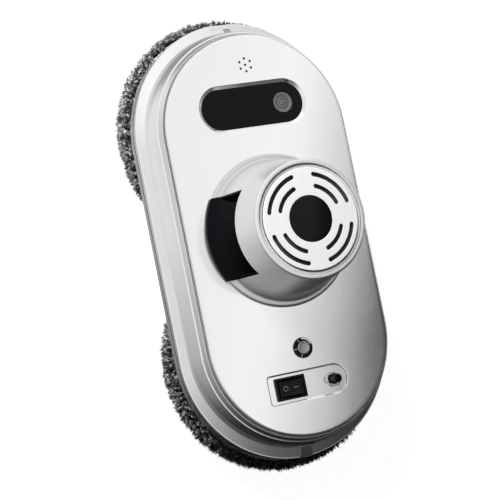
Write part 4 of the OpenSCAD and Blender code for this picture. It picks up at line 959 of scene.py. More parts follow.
class ROBOT_OT_end_marks(bpy.types.Operator):
    """Build the tab and arrowhead on the rear end and the rope's catch on the front end"""
    bl_idname = "robot.end_marks"
    bl_label = "End marks"

    def execute(self, context):
        body = context.scene.robot_body
        stock = finishes(context)
        # Foot and top as (left, right, height), then how far it stands out and goes in, all in mm
        marks = (
            ("release_tab", (-5.2, 5.2, 33.4), (-5.2, 2.2, 41.2), (0.45, -0.6), "trim_grey", "tab_white"),
            ("release_arrow", (-5, 0.6, 44), (-0.6, -0.5, 52.5), (0.12, -0.5), "gloss_black", "gloss_black"),
            ("rope_catch", (0.4, 5.2, 36.2), (0.6, 5, 41), (0.7, -0.6), "trim_grey", "mark_grey"))
        for name, foot, top, depths, slot, finish in marks:
            end = 1 if name == "rope_catch" else -1
            foot, top = np.array(foot) * MM, np.array(top) * MM
            face, back = (patch(body, end, foot, top, depth * MM) for depth in depths)
            piece(name, plate(face, back, flip=end > 0), "body", stock[finish])
        return {"FINISHED"}


# Window, button, switch and socket


class ROBOT_OT_sensor_window(bpy.types.Operator):
    """Build the tinted sensor window and its ringed lens"""
    bl_idname = "robot.sensor_window"
    bl_label = "Sensor window"

    def execute(self, context):
        panel = context.scene.robot_panel
        stock = finishes(context)
        low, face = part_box("sensor_window")[0].z, panel.window_face
        pane = Skin().solid(window_outline(panel), flat([
            (-2 * MM, low, 0), (0, low, 0.2 * MM), (0, face, 0.3 * MM), (-3 * MM, face, 0)]))
        x, y, r = panel.lens_place, panel.window_place, panel.lens_radius
        hole = Skin().solid(circle(x, y, r + 0.08 * MM, LENS_STEPS), flare(low - PAST, face, 0.15 * MM))
        piece("window_pane", pane, "body", stock["tinted_window"], ["sensor_window"],
              [hole])
        # Share of the radius, depth and rounding in mm, from the rim to the middle
        steps = (
            (0.84, 0.1, 0), (0.80, 0.35, 0.1), (0.66, 0.35, 0.1), (0.62, 0.6, 0.1), (0.56, 0.6, 0.1),
            (0.52, 0.4, 0.1), (0.37, 0.4, 0.1), (0.33, 0.65, 0.1), (0.28, 0.65, 0.1), (0.24, 0.4, 0.1),
            (0.1, 0.3, 0))
        dish = [(share * r, face - depth * MM, bend * MM) for share, depth, bend in steps]
        rings = flat([
            (0.92 * r, low, 0), (r, low, 0.2 * MM), (r, face - 0.1 * MM, 0.15 * MM), *dish], steps=4)
        piece("window_lens", Skin().solid(circle(x, y, steps=LENS_STEPS), rings), "body",
              stock["sensor_grey"], ["sensor_lens"])
        return {"FINISHED"}


def bar_on(centre, span, width, turn, low, high, corner):
    """A small upright bar with rounded corners, turned about its centre."""
    outline = box_outline(-span / 2, span / 2, -width / 2, width / 2, corner, 4)
    points = outline.rings([(0, low), (0, high)])
    x, y = points[..., 0].copy(), points[..., 1].copy()
    points[..., 0] = centre[0] + x * cos(turn) - y * sin(turn)
    points[..., 1] = centre[1] + x * sin(turn) + y * cos(turn)
    return points


class ROBOT_OT_start_button(bpy.types.Operator):
    """Build the start button's bezel with its marks, and its dished cap"""
    bl_idname = "robot.start_button"
    bl_label = "Start button"

    def execute(self, context):
        panel, top = context.scene.robot_panel, context.scene.robot_body.cover_top
        stock = finishes(context)
        y, r, cap_r = panel.button_place, panel.bezel_radius, panel.button_radius
        under, bezel_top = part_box("button_bezel")[0].z, panel.bezel_top
        bore, neck = cap_r + FIT, cap_r + 0.9 * MM
        ring = flat([
            (bore, under, 0), (neck, under, 0), (neck, top, 0), (r, top, 0),
            (r, bezel_top, 0.4 * MM), (bore, bezel_top, 0.25 * MM)], closed=True)
        piece("start_bezel", Skin().hoop(circle(0, y, steps=RING_STEPS), ring), "body",
              stock["gloss_black"], ["button_bezel"])
        marks = Skin()
        low, high = bezel_top - 0.2 * MM, bezel_top + 0.06 * MM
        middle = (cap_r + r) / 2
        for turn in (radians(118), radians(183), radians(247)):
            centre = (middle * cos(turn), y + middle * sin(turn))
            marks.grid(bar_on(centre, 2 * MM, 0.3 * MM, turn, low, high, 0.1 * MM), first=True, last=True)
        arc = np.radians(np.linspace(18, 92, 24))
        inner, outer = cap_r + 1.25 * MM, r - 0.35 * MM
        strip = np.stack([np.stack([
            radius * np.cos(arc), y + radius * np.sin(arc), np.full_like(arc, height)], axis=-1)
            for radius, height in ((inner, low), (outer, low), (outer, high), (inner, high))], axis=1)
        marks.grid(strip, first=True, last=True, flip=True)
        piece("start_marks", marks, "body", stock["pearl_plastic"])
        cap_top = panel.button_top
        foot = cap_top - 3.2 * MM
        cap = flat([
            (cap_r * 0.9, foot, 0), (cap_r, foot, 0), (cap_r, cap_top, 0.45 * MM),
            (cap_r - 0.9 * MM, cap_top, 0.3 * MM), (cap_r - 1.2 * MM, cap_top - 0.35 * MM, 0.3 * MM),
            (cap_r * 0.3, cap_top - 0.5 * MM, 0)])
        piece("start_cap", Skin().solid(circle(0, y, steps=RING_STEPS), cap), "start_button",
              stock["button_silver"], ["start_button"])
        return {"FINISHED"}


def rocker_top(panel, x):
    """Height of the rocker's upper face over its axis: two flats that meet in a low valley,
    valley + sqrt(x^2 + bend^2) * tan(tilt)."""
    valley, bend = 1.82 * MM, 0.5 * MM
    return valley + np.sqrt(x ** 2 + bend ** 2) * tan(panel.rocker_tilt)


def place_rocker(panel, points):
    """Turns points about the rocker's axis by its tilt, right side up, and sets them in place."""
    x, y, z = points[..., 0], points[..., 1], points[..., 2]
    c, s = cos(panel.rocker_tilt), sin(panel.rocker_tilt)
    return np.stack([
        panel.switch_place + x * c - z * s, panel.recess_place + y, panel.pivot_height + x * s + z * c],
        axis=-1)


class ROBOT_OT_switch(bpy.types.Operator):
    """Build the rocker switch: frame, rocker and its on and off marks"""
    bl_idname = "robot.switch"
    bl_label = "Rocker switch"

    def execute(self, context):
        panel = context.scene.robot_panel
        stock = finishes(context)
        self.frame(panel, stock["gloss_black"])
        low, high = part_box("rocker")
        reach = (high.x - low.x) / 2 / cos(panel.rocker_tilt) - 0.45 * MM
        self.rocker(panel, reach, stock["gloss_black"])
        self.marks(panel, reach, stock["mark_grey"])
        return {"FINISHED"}

    @staticmethod
    def frame(panel, black):
        """The frame: a rectangle's outline carried down its inner side from a rounded rim."""
        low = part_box("switch_housing")[0].z
        rim, top, floor = panel.switch_rim, panel.switch_top, panel.recess_floor
        neck = -1 * MM
        ring = flat([
            (neck - rim / 2, low + 3 * MM, 0), (neck, low + 3 * MM, 0), (neck, floor, 0), (0, floor, 0),
            (0, top, 0.45 * MM), (-0.75 * rim, top, 0.2 * MM), (-rim, top - 0.5 * MM, 0.2 * MM),
            (-rim, low + 4.5 * MM, 0)], steps=5)
        piece("switch_frame", Skin().solid(switch_outline(panel, 0, 0.7 * MM, 5), ring), "body",
              black, ["switch_housing"])

    @staticmethod
    def rocker(panel, reach, black):
        """The rocker: its section carried across, drawn in along a quarter arc at both sides.
        A ridge of height * exp(-(distance / width)^2) stands near each end."""
        ridge, edge = 0.35 * MM, 0.4 * MM
        half = panel.switch_width / 2 - panel.switch_rim - 0.25 * MM
        x = np.linspace(reach, -reach, 41)
        bump = ridge * np.exp(-((np.abs(x) - 0.80 * reach) / ridge) ** 2)
        upper = np.stack([x, rocker_top(panel, x) + bump], axis=1)
        shoulder, foot = -1.1 * MM, -3.4 * MM
        lower = np.array([
            (-0.93 * reach, shoulder), (-0.4 * reach, foot), (0.4 * reach, foot), (0.93 * reach, shoulder)])
        path = np.concatenate([upper, lower])
        bend = np.linspace(0, pi / 2, 5)
        inset, side = edge * (1 - np.sin(bend)), half - edge * (1 - np.cos(bend))
        insets, sides = np.concatenate([inset, inset[::-1]]), np.concatenate([-side, side[::-1]])
        rows = path[None] - outward(path)[None] * insets[:, None, None]
        across = np.broadcast_to(sides[:, None], rows.shape[:2])
        points = place_rocker(panel, np.stack([rows[..., 0], across, rows[..., 1]], axis=-1))
        piece("rocker_cap", Skin().grid(points, first=True, last=True, flip=True), "rocker",
              black, ["rocker"], sharp=radians(50))

    @staticmethod
    def marks(panel, reach, grey):
        """The ring and the bar on the rocker, laid on its face: radius + thickness * cos of the
        section's angle outwards, and a height times its sine upwards."""
        turn = np.linspace(0, 2 * pi, 40, endpoint=False)
        section = np.linspace(0, 2 * pi, 8, endpoint=False)[:, None]
        radius = 1.5 * MM + 0.2 * MM * np.cos(section)
        x, y = -0.45 * reach + radius * np.cos(turn), radius * np.sin(turn)
        z = rocker_top(panel, x) + 0.07 * MM * np.sin(section)
        marks = Skin().grid(place_rocker(panel, np.stack([x, y, z], axis=-1)), closed=True)
        bar = bar_on((0.42 * reach, 0), 2.8 * MM, 0.4 * MM, 0, -0.1 * MM, 0.07 * MM, 0.15 * MM)
        bar[..., 2] += rocker_top(panel, bar[..., 0])
        marks.grid(place_rocker(panel, bar), first=True, last=True)
        piece("rocker_marks", marks, "rocker", grey)


def ring_at(x, y, radius, height, turn):
    """A ring of points about an upright axis, or one for each row of radius and height."""
    radius, height, turn = np.broadcast_arrays(radius, height, turn)
    return np.stack([x + radius * np.cos(turn), y + radius * np.sin(turn), height], axis=-1)


class ROBOT_OT_socket(bpy.types.Operator):
    """Build the power socket's threaded barrel and its chamfered nut"""
    bl_idname = "robot.socket"
    bl_label = "Power socket"

    def execute(self, context):
        panel = context.scene.robot_panel
        stock = finishes(context)
        self.barrel(panel, stock["dark_nickel"])
        self.nut(panel, stock["nut_nickel"])
        return {"FINISHED"}

    @staticmethod
    def barrel(panel, nickel):
        """The barrel: its radius dips by a tooth's depth as the share of a turn that a height
        is past the thread's helix runs from 0 to 1, and the thread fades out below the rim."""
        x, y, floor, top = panel.socket_place, panel.recess_place, panel.recess_floor, panel.socket_top
        r, bore = panel.socket_radius, panel.socket_bore
        tooth_depth, skim, chamfer = 0.34 * MM, 0.02 * MM, 0.5 * MM
        low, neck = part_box("power_socket")[0].z, floor - 2.6 * MM
        turn = np.linspace(0, 2 * pi, 64, endpoint=False)
        height = np.linspace(floor - 1 * MM, top - chamfer, 90)[:, None]
        phase = (height / panel.thread_pitch - turn / (2 * pi)) % 1.0
        tooth = np.abs(phase - 0.5) * 2
        fade = np.clip((top - chamfer - height) / chamfer, 0, 1)
        radius = r - tooth_depth * tooth * fade - skim
        thread = ring_at(x, y, radius, height, turn)
        foot = [ring_at(x, y, *level, turn) for level in (
            (5 * MM, low), (5 * MM, neck), (r - 0.4 * MM, neck))]
        rim = [ring_at(x, y, *level, turn) for level in (
            (r - skim, top - 0.35 * MM), (r - 0.3 * MM, top), (bore + 0.2 * MM, top),
            (bore, top - 0.2 * MM), (bore, top - 9 * MM))]
        skin = Skin().grid(np.concatenate([foot, thread, rim]), first=True, last=True)
        piece("socket_barrel", skin, "body", nickel, ["power_socket"], weighted=False)
        pin_r = 0.9 * MM
        pin = flat([
            (pin_r, top - 8.9 * MM, 0), (pin_r, top - 1.6 * MM, 0.5 * MM), (0.2 * MM, top - 1.2 * MM, 0)])
        piece("socket_pin", Skin().solid(circle(x, y, steps=PIN_STEPS), pin), "body", nickel)

    @staticmethod
    def nut(panel, nickel):
        """The nut: a hexagon, half its width over flats / cos(angle from the flat's middle),
        whose corners are turned down by a cone above and, less, below."""
        x, y, floor = panel.socket_place, panel.recess_place, panel.recess_floor
        turn = np.radians(np.arange(0, 360, 2.5))
        half_flat = panel.nut_radius * cos(pi / 6)
        cone = half_flat * 0.97
        hexagon = half_flat / np.cos((turn % (pi / 3)) - pi / 6)
        hexagon = np.minimum(hexagon, panel.nut_radius * 0.985)
        drop = (hexagon - cone) * tan(radians(32))
        low, high = floor + 0.02 * MM, floor + panel.nut_height
        hole = panel.socket_radius + FIT / 2
        rings = [ring_at(x, y, *level, turn) for level in (
            (hole, low), (cone, low), (hexagon, floor + drop * 0.4), (hexagon, high - drop),
            (cone, high), (hole + 0.5 * MM, high), (hole, high - 0.4 * MM))]
        piece("socket_hex_nut", Skin().grid(np.stack(rings), closed=True), "body", nickel,
              ["socket_nut"], sharp=radians(20))


# Handle


def drum_at(handle, cover_top, z):
    """Radius of the drum at a height: it narrows evenly to its top."""
    share = (z - cover_top) / (handle.top - cover_top)
    return handle.drum_radius - (handle.drum_radius - handle.drum_top_radius) * share


def grip_gap(handle, cover_top, height):
    """The room that both grips take out of the drum and the ring at its foot."""
    half = handle.grip_half + FIT
    inner = handle.scoop_centre - handle.scoop_radius - 15 * MM
    outer = inner + 46 * MM
    skin = Skin()
    for side in (-1, 1):
        left, right = sorted((side * inner, side * outer))
        outline = box_outline(left, right, handle.place - half, handle.place + half, 0.2 * MM, 3)
        skin.solid(outline, [(0, cover_top - PAST), (0, cover_top + height)])
    return skin


class ROBOT_OT_handle(bpy.types.Operator):
    """Build the handle's drum and the rounded ring at its foot"""
    bl_idname = "robot.handle"
    bl_label = "Handle"

    def execute(self, context):
        body, handle = context.scene.robot_body, context.scene.robot_handle
        stock = finishes(context)
        base, top, y = body.cover_top, handle.top, handle.place
        seat, under = handle.vent_under, handle.vent_under - 2 * MM
        bore, ledge = handle.trim_radius + FIT, handle.vent_radius - 3 * MM
        inside = drum_at(handle, base, under) - body.wall_thickness
        wall = flat([
            (handle.drum_radius - body.wall_thickness, base, 0), (handle.drum_radius, base, 0),
            (handle.drum_top_radius, top, handle.drum_edge), (bore, top, 0.45 * MM),
            (bore, seat, 0.2 * MM), (ledge, seat, 0), (ledge, under, 0), (inside, under, 0)],
            closed=True, steps=9)
        piece("handle_drum", Skin().hoop(circle(0, y, steps=DRUM_STEPS), wall), "body",
              stock["pearl_plastic"], ["handle_housing"],
              [grip_gap(handle, base, handle.grip_height + FIT)])
        shelf, peak = base + 0.55 * handle.collar_height, base + 1.2 * handle.collar_height
        inner = drum_at(handle, base, peak) - FIT
        ring = flat([
            (inner, base, 0), (handle.collar_radius, base, 0), (handle.collar_radius, shelf, 1.9 * MM),
            (inner + 2 * FIT, shelf, 2.4 * MM), (inner + FIT, peak, 0), (inner, peak, 0)],
            closed=True, steps=10)
        piece("handle_ring", Skin().hoop(circle(0, y, steps=DRUM_STEPS), ring), "body",
              stock["ring_pearl"], ["handle_collar"],
              [grip_gap(handle, base, handle.collar_height + PAST)])
        return {"FINISHED"}


def grip_skin(handle, cover_top, side):
    """One grip: a scoop whose section is an arc, swept about the drum's axis and cut off
    square, so a point at distance r from the axis and y along it has x = sqrt(r^2 - y^2).
    At its ends a quarter round closes it: the distance goes from the scoop's to the drum's
    own as sqrt(1 - (1 - share)^2) falls from one to nothing. Both sides end in a chamfer."""
    centre, middle, radius = handle.scoop_centre, cover_top + handle.scoop_height, handle.scoop_radius
    lip, half, cheek = handle.lip_radius, handle.grip_half, handle.cheek
    low, high = cover_top + FIT, cover_top + handle.grip_height - FIT
    t = np.linspace(0, 1, 44)
    bottom, top = -np.arccos((centre - lip) / radius), np.arcsin((high - middle) / radius)
    swing = bottom + (top - bottom) * t
    face_r, face_z = centre - radius * np.cos(swing), middle + radius * np.sin(swing)
    closed_r = np.maximum(drum_at(handle, cover_top, face_z), face_r)
    lip_share = 0.2
    closed_r = closed_r + (lip - closed_r) * np.clip((lip_share - t) / lip_share, 0, 1) ** 2

    turn, margin, chamfer = 1.2 * MM, 0.3 * MM, 0.25 * MM
    hollow = half - cheek + margin
    inner = np.linspace(turn - hollow, hollow - turn, 37)
    bend = turn * np.linspace(0, 1, 7)[:-1]
    across = np.concatenate([
        [-half, chamfer - half], bend - hollow, inner, (hollow - bend)[::-1], [half - chamfer, half]])
    share = np.clip((hollow - np.abs(across)) / turn, 0, 1)
    deep = np.sqrt(1 - (1 - share) ** 2)
    edge = 0.2 * MM * np.clip((np.abs(across) - half + chamfer) / chamfer, 0, 1)[:, None]
    count = len(across)
    r = np.concatenate([
        lip - edge, closed_r + (face_r - closed_r) * deep[:, None] - edge,
        np.full((count, 2), centre - radius - 2 * MM)], axis=1)
    z = np.broadcast_to(np.concatenate([[low], face_z, [high, low]]), r.shape)
    y = np.broadcast_to(across[:, None], r.shape)
    x = side * np.sqrt(r ** 2 - y ** 2)
    points = np.stack([x, handle.place + y, z], axis=-1)
    return Skin().grid(points, first=True, last=True, flip=side > 0)


class ROBOT_OT_grips(bpy.types.Operator):
    """Build the two hollow grips in the drum's sides"""
    bl_idname = "robot.grips"
    bl_label = "Grips"

    def execute(self, context):
        handle, top = context.scene.robot_handle, context.scene.robot_body.cover_top
        black = finishes(context)["grip_black"]
        for name, side in (("left_grip", -1), ("right_grip", 1)):
            piece(name + "_scoop", grip_skin(handle, top, side), "body", black, [name],
                  sharp=radians(40))
        return {"FINISHED"}


def slot_outline(radius, half_sweep, middle, width, y, steps=28):
    """Points of a curved slot with round ends, about its middle angle: on along its outer side,
    back along the inner. A point at (out, along) from an angle's line is turned by the angle."""
    turn = middle + np.linspace(-half_sweep, half_sweep, steps)
    cap = np.linspace(0, pi, 10)[1:-1]
    half = width / 2

    def at(out, along, angle):
        """Points this far out and along, seen from the slot's middle line at an angle."""
        return np.stack([out * np.cos(angle) - along * np.sin(angle),
                         out * np.sin(angle) + along * np.cos(angle)], axis=1)

    def side(out, angle):
        """One long side."""
        return at(np.full_like(angle, out), np.zeros_like(angle), angle)

    def end(swing, angle):
        """One round end."""
        return at(radius + half * np.cos(swing), half * np.sin(swing), angle)

    path = np.concatenate([
        side(radius + half, turn), end(cap, turn[-1]), side(radius - half, turn[::-1]),
        end(cap + pi, turn[0])])
    return path + [0, y]


class ROBOT_OT_vent(bpy.types.Operator):
    """Build the slotted vent cap, the ring round it and the domed black middle"""
    bl_idname = "robot.vent"
    bl_label = "Vent"

    def execute(self, context):
        handle = context.scene.robot_handle
        stock = finishes(context)
        top, under, y = handle.top, handle.vent_under, handle.place
        r, wall = handle.vent_radius, handle.vent_thickness
        inside, eye = top - wall, 1 * MM
        cap = flat([(r - wall, under, 0), (r, under, 0), (r, top, 0.5 * MM), (eye, top, 0)])
        back = flat([(eye, inside, 0), (r - wall, inside, 0.3 * MM), (r - wall, under, 0)])
        skin = Skin().solid(circle(0, y, steps=DRUM_STEPS), np.concatenate([back[:-1], cap]))
        cuts = self.slots(handle)
        seat = circle(0, y, handle.boss_radius + FIT, RING_STEPS)
        cuts.solid(seat, flare(top - PAST, top, 0.2 * MM))
        piece("vent_plate", skin, "body", stock["vent_white"], ["vent_cap"], [cuts])
        bore, rim = r + FIT, handle.trim_radius
        ring = flat([
            (bore, under, 0), (rim, under, 0), (rim, handle.trim_top, 0.2 * MM),
            (bore, handle.trim_top, 0.2 * MM)], closed=True)
        piece("vent_ring", Skin().hoop(circle(0, y, steps=DRUM_STEPS), ring), "body",
              stock["trim_grey"], ["vent_trim_ring"])
        piece("vent_middle", Skin().solid(circle(0, y), self.dome(handle)), "body",
              stock["gloss_black"], ["boss_cap"])
        return {"FINISHED"}

    @staticmethod
    def slots(handle):
        """The slots, an outer and an inner one in each quarter: a flared cut that is wider below
        the plate's edge, so that it looks dark."""
        top, undercut, lip = handle.top, 0.7 * MM, 0.35 * MM
        width = handle.slot_width + lip
        cuts = Skin()
        flared = flare(top - handle.vent_thickness - PAST, top, 0.15 * MM, steps=4)
        wider = [(undercut, flared[0, 1]), (undercut, top - undercut), (0, top - lip)]
        profile = np.concatenate([wider, flared[1:]])
        rows = ((handle.outer_slots, handle.outer_slot_angle), (handle.inner_slots, handle.inner_slot_angle))
        for quarter in range(4):
            middle = radians(45 + 90 * quarter)
            for radius, half in rows:
                path = slot_outline(radius, half, middle, width, handle.place)
                rings = path[None] + outward(path)[None] * profile[:, 0, None, None]
                height = np.broadcast_to(profile[:, 1, None], rings.shape[:2])
                cuts.grid(np.concatenate([rings, height[..., None]], axis=-1), first=True, last=True)
        return cuts

    @staticmethod
    def dome(handle):
        """Profile of the black middle: a short wall and a crown that rises by 1 - share^2."""
        top, r = handle.top, handle.boss_radius
        foot = top - 0.98 * MM
        share = np.linspace(0.97, 0.03, 16)
        crown = np.stack([r * share, top + handle.boss_rise * (1 - share ** 2)], axis=1)
        return np.concatenate([[(r * 0.9, foot), (r, foot), (r, top - 0.15 * MM)], crown])


# Fleece pads

PILE_FOOT = 0.1 * MM  # height of the pile's lowest strands over the glass
PILE_OVER = 3.2 * MM  # how far the pile stands over the fleece's wrapped edge


def pad_section(pad):
    """The fleece's closed section: flat under the disc, round at its foot, up outside the
    disc and over its rim."""
    return flat([
        (pad.hole_radius, pad.face, 1 * MM), (pad.radius, pad.face, 4.5 * MM),
        (pad.radius, pad.top, 1.2 * MM), (pad.radius - pad.wrap, pad.top, 1.2 * MM),
        (pad.radius - pad.wrap, pad.floor, 0.5 * MM), (pad.hole_radius, pad.floor, 1 * MM)],
        closed=True, steps=8)


def ripple(angle, place, rng, waves=24):
    """A sum of waves round and across the pad with random lengths and phases, from -1 to 1."""
    round_count = rng.integers(6, 90, waves)[:, None, None]
    across = rng.uniform(-300, 300, waves)[:, None, None]
    phase = rng.uniform(0, 2 * pi, waves)[:, None, None]
    return np.sin(round_count * angle + across * place + phase).sum(axis=0) / np.sqrt(waves)


def strands(name, roots, aims, y, pad, rng):
    """Tufts of curved, tapering strands about a pad's axis at y. A strand starts at its tuft's
    root plus a random spread, and ends at tuft + gather * (start - tuft) + reach * direction,
    where the direction is the tuft's aim turned by its swirl. Between them it bows towards the
    aim. Each is a three-sided prism of two rings and a point."""
    tufts, each = len(roots), pad.tuft_strands
    count = tufts * each
    tuft = np.repeat(np.arange(tufts), each)
    gather, bow = 0.55, 0.12
    root = roots[tuft] + rng.normal(0, 0.45 * MM, (count, 3)) * [1, 1, 0.7]
    reach = pad.pile * rng.uniform(0.55, 1.0, tufts)[tuft] * rng.uniform(0.75, 1.1, count)
    reach = reach[:, None]
    swirl = rng.normal(0, 0.65, (tufts, 3))[tuft] + rng.normal(0, 0.2, (count, 3))
    tip = roots[tuft] + (root - roots[tuft]) * gather + unit(aims[tuft] + swirl) * reach
    bend = root + (tip - root) * gather + aims[tuft] * reach * bow
    for end in (root, bend, tip):
        end[:, 2] = np.clip(end[:, 2], PILE_FOOT, pad.top + PILE_OVER)
    along = tip - root
    side = unit(np.cross(along, [0.31, 0.22, 0.93]))
    other = unit(np.cross(along, side))
    turn = np.radians([90, 210, 330])[:, None]
    star = side[:, None] * np.cos(turn) + other[:, None] * np.sin(turn)
    width = pad.strand * rng.uniform(0.45, 1.25, count)[:, None, None] / 2
    points = np.concatenate([
        root[:, None] + star * width, bend[:, None] + star * width * 0.8, tip[:, None]], axis=1)
    points[..., 2] = np.maximum(points[..., 2], PILE_FOOT)
    points += [0, y, 0]
    shade = rng.beta(0.5, 0.55, tufts)[tuft] * rng.uniform(0.5, 1.3, count)
    return placed(name, strand_mesh(name, points, shade))


def strand_mesh(name, points, shade):
    """A mesh of strands of seven points each, with its share from root to tip and its shade
    kept on every point."""
    count, each = points.shape[:2]
    first = (np.arange(count) * each)[:, None, None]
    quads = first + np.array([[0, 1, 4, 3], [1, 2, 5, 4], [2, 0, 3, 5]])
    caps = first + np.array([[3, 4, 6], [4, 5, 6], [5, 3, 6]])
    mesh = bpy.data.meshes.new(name)
    mesh.from_pydata(points.reshape(-1, 3), [], quads.reshape(-1, 4).tolist() + caps.reshape(-1, 3).tolist())
    share = np.tile([0, 0, 0, 0.6, 0.6, 0.6, 1.0], count)
    for title, values in (("along", share), ("tuft", np.repeat(shade, each))):
        kept = mesh.attributes.new(title, "FLOAT", "POINT")
        kept.data.foreach_set("value", values.astype(np.float32))
    mesh.shade_smooth()
    mesh.update()
    return mesh


class ROBOT_OT_pads(bpy.types.Operator):
    """Build the two fleece pads: their backing and the pile round and under it"""
    bl_idname = "robot.pads"
    bl_label = "Fleece pads"

    def execute(self, context):
        pad, place = context.scene.robot_pads, context.scene.robot_body.pad_place
        colours = context.scene.robot_finishes
        pile = finishes(context)["microfibre"]
        ground = backing("fleece_ground", colours.pile_root, colours.pile_tip)
        for name, side in (("front", 1), ("rear", -1)):
            rng = np.random.default_rng(pad.seed + side)
            y = side * place
            body = piece(name + "_fleece", self.fleece(pad, y, rng), name + "_pad",
                         ground, [name + "_pad"], weighted=False)
            for made in (*self.edge(name, pad, y, rng), self.under(name, pad, y, rng)):
                made.data.materials.append(pile)
                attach(made, name + "_pad")
        return {"FINISHED"}

    @staticmethod
    def fleece(pad, y, rng):
        """The backing: its section carried round and moved out along its own normal by a
        ripple, except where it lies on the glass."""
        section = pad_section(pad)
        rings = circle(0, y, steps=PAD_STEPS).rings(section)
        normal = outward(section[:, :2])
        angle = np.linspace(0, 2 * pi, PAD_STEPS, endpoint=False)[None]
        swell = ripple(angle, np.arange(len(section))[:, None] * MM, rng) * 0.3 * MM
        swell = np.where(section[:, 1:2] < pad.face + 0.5 * MM, 0, swell)
        out, up = normal[:, 0:1] * swell, normal[:, 1:2] * swell
        rings += np.stack([out * np.cos(angle), out * np.sin(angle), up], axis=-1)
        return Skin().grid(rings, closed=True)

    @staticmethod
    def edge(name, pad, y, rng):
        """The pile round the pad, in two pieces: tufts strewn along a path from under the edge
        up and over the rim, each leaning as the path does there."""
        tufts = 2 * pad.edge_tufts
        turn = rng.uniform(0, 2 * pi, tufts)
        climb = np.sort(rng.uniform(0, 1, tufts))
        path = np.array([
            (pad.radius - 6 * MM, pad.face), (pad.radius - 3.2 * MM, pad.face + 0.7 * MM),
            (pad.radius - 0.8 * MM, pad.face + 3 * MM), (pad.radius, pad.face + 5 * MM),
            (pad.radius, pad.top - 1.2 * MM), (pad.radius - 0.5 * MM, pad.top),
            (pad.radius - pad.wrap, pad.top)])
        slant = np.radians([-70, -55, -32, -10, 12, 55, 80])
        steps = np.concatenate([[0], np.cumsum(np.linalg.norm(np.diff(path, axis=0), axis=1))])
        at = climb * steps[-1]
        r, z, lean = (np.interp(at, steps, values) for values in (*path.T, slant))
        roots = np.stack([r * np.cos(turn), r * np.sin(turn), z], axis=1)
        aims = np.stack([np.cos(lean) * np.cos(turn), np.cos(lean) * np.sin(turn), np.sin(lean)], axis=1)
        parts = (("_edge_pile", slice(0, pad.edge_tufts)), ("_rim_pile", slice(pad.edge_tufts, tufts)))
        return [strands(name + title, roots[part], aims[part], y, pad, rng) for title, part in parts]

    @staticmethod
    def under(name, pad, y, rng):
        """The pile under the pad, spread evenly over its ring: r = sqrt of an even share
        between the squares of its radii. Its aims lie almost flat, in whorls."""
        outer = pad.radius - 3 * MM
        r = np.sqrt(rng.uniform(pad.hole_radius ** 2, outer ** 2, pad.face_tufts))
        turn = rng.uniform(0, 2 * pi, pad.face_tufts)
        roots = np.stack([r * np.cos(turn), r * np.sin(turn), np.full_like(r, pad.face)], axis=1)
        flat_share, drop = 0.8, -0.45
        aims = np.stack([
            flat_share * np.cos(turn * 3), flat_share * np.sin(turn * 5), np.full_like(r, drop)], axis=1)
        return strands(name + "_face_pile", roots, aims, y, pad, rng)


class ROBOT_OT_frame_finishes(bpy.types.Operator):
    """Give every part that the frame brings its own finish"""
    bl_idname = "robot.frame_finishes"
    bl_label = "Frame finishes"

    def execute(self, context):
        stock = finishes(context)
        for part in frame["record"]["subparts"]:
            node = frame["nodes"].get(part["node"])
            if node is not None:
                node.data.materials.clear()
                node.data.materials.append(stock[part["material_slot"]])
        return {"FINISHED"}


# Stage

CAMERA_PLACE = (-0.4455158, -0.0699260, 0.9992905)
CAMERA_TURN = (8.45825, -23.07663, -12.40620)  # degrees
CAMERA_SENSOR, CAMERA_LENS = 36, 115.2
CAMERA_RANGE = (0.01, 100)

AMBIENT = 0.03  # the world's light on the object
FLOOR_SIZE = 8
FLOOR_GLOW = 0.97
FLOOR_PAPER = 0.3  # share of the floor's paper that takes light and shadow

SAIL_SIZE, SAIL_HEIGHT = 4.4, 1.4
SAIL_SLANT = 0.386  # the sail's stripes lean by this much a metre
SAIL_START, SAIL_WIDTH = 0.3, 0.65
# Tones of the sail at places across it, in metres from the middle
SAIL_TONES = (
    (0.35, 0.88), (0.48, 0.92), (0.58, 1.0), (0.628, 0.98), (0.636, 0.87), (0.668, 0.78), (0.70, 0.69),
    (0.73, 0.58), (0.76, 0.40), (0.79, 0.21), (0.81, 0.09), (0.86, 0.02), (0.92, 0.01))

BODY_HALF = 0.075
BOWL = ((0.001, 0.0004), (2.0, 0.0004), (2.05, 0.05), (2.05, 1.39))
# Tones of the bowl by direction, in degrees from the front: its floor near the body, its floor
# further out, and its wall
NEAR_TONES = (
    (-180, 0.88), (-96, 0.85), (-58, 0.45), (-34, 0.07), (-10, 0.02), (53, 0.0), (71, 0.25), (100, 0.9))
FAR_TONES = ((-95, 0.5), (-65, 0.17), (-44, 0.06), (-24, 0.02), (60, 0.02), (71, 0.2), (100, 0.6))
WALL_TONES = (
    (-90, 0.94), (-60, 0.55), (-40, 0.38), (-20, 0.25), (0, 0.11), (40, 0.08), (75, 0.2), (110, 0.94))

# Name, size, power and place of each lamp
LAMPS = (("key", 0.4, 30.0, (-0.55, 0.84, 0.78)), ("rim", 0.5, 10.0, (-0.82, 1.15, 0.34)))


def staged(name, skin, material):
    """A piece of the studio, which isn't part of the object."""
    made = placed(name, skin.mesh(name))
    made.data.materials.append(material)
    return made


def card(size, height):
    """A level square about the middle, as a grid of two by two points."""
    half = size / 2
    x, y = np.meshgrid([-half, half], [-half, half])
    return Skin().grid(np.stack([x, y, np.full_like(x, height)], axis=-1), around=False)


def hide(made, *rays):
    """Keeps an object out of the sight of some kinds of rays."""
    for kind in rays:
        setattr(made, "visible_" + kind, False)


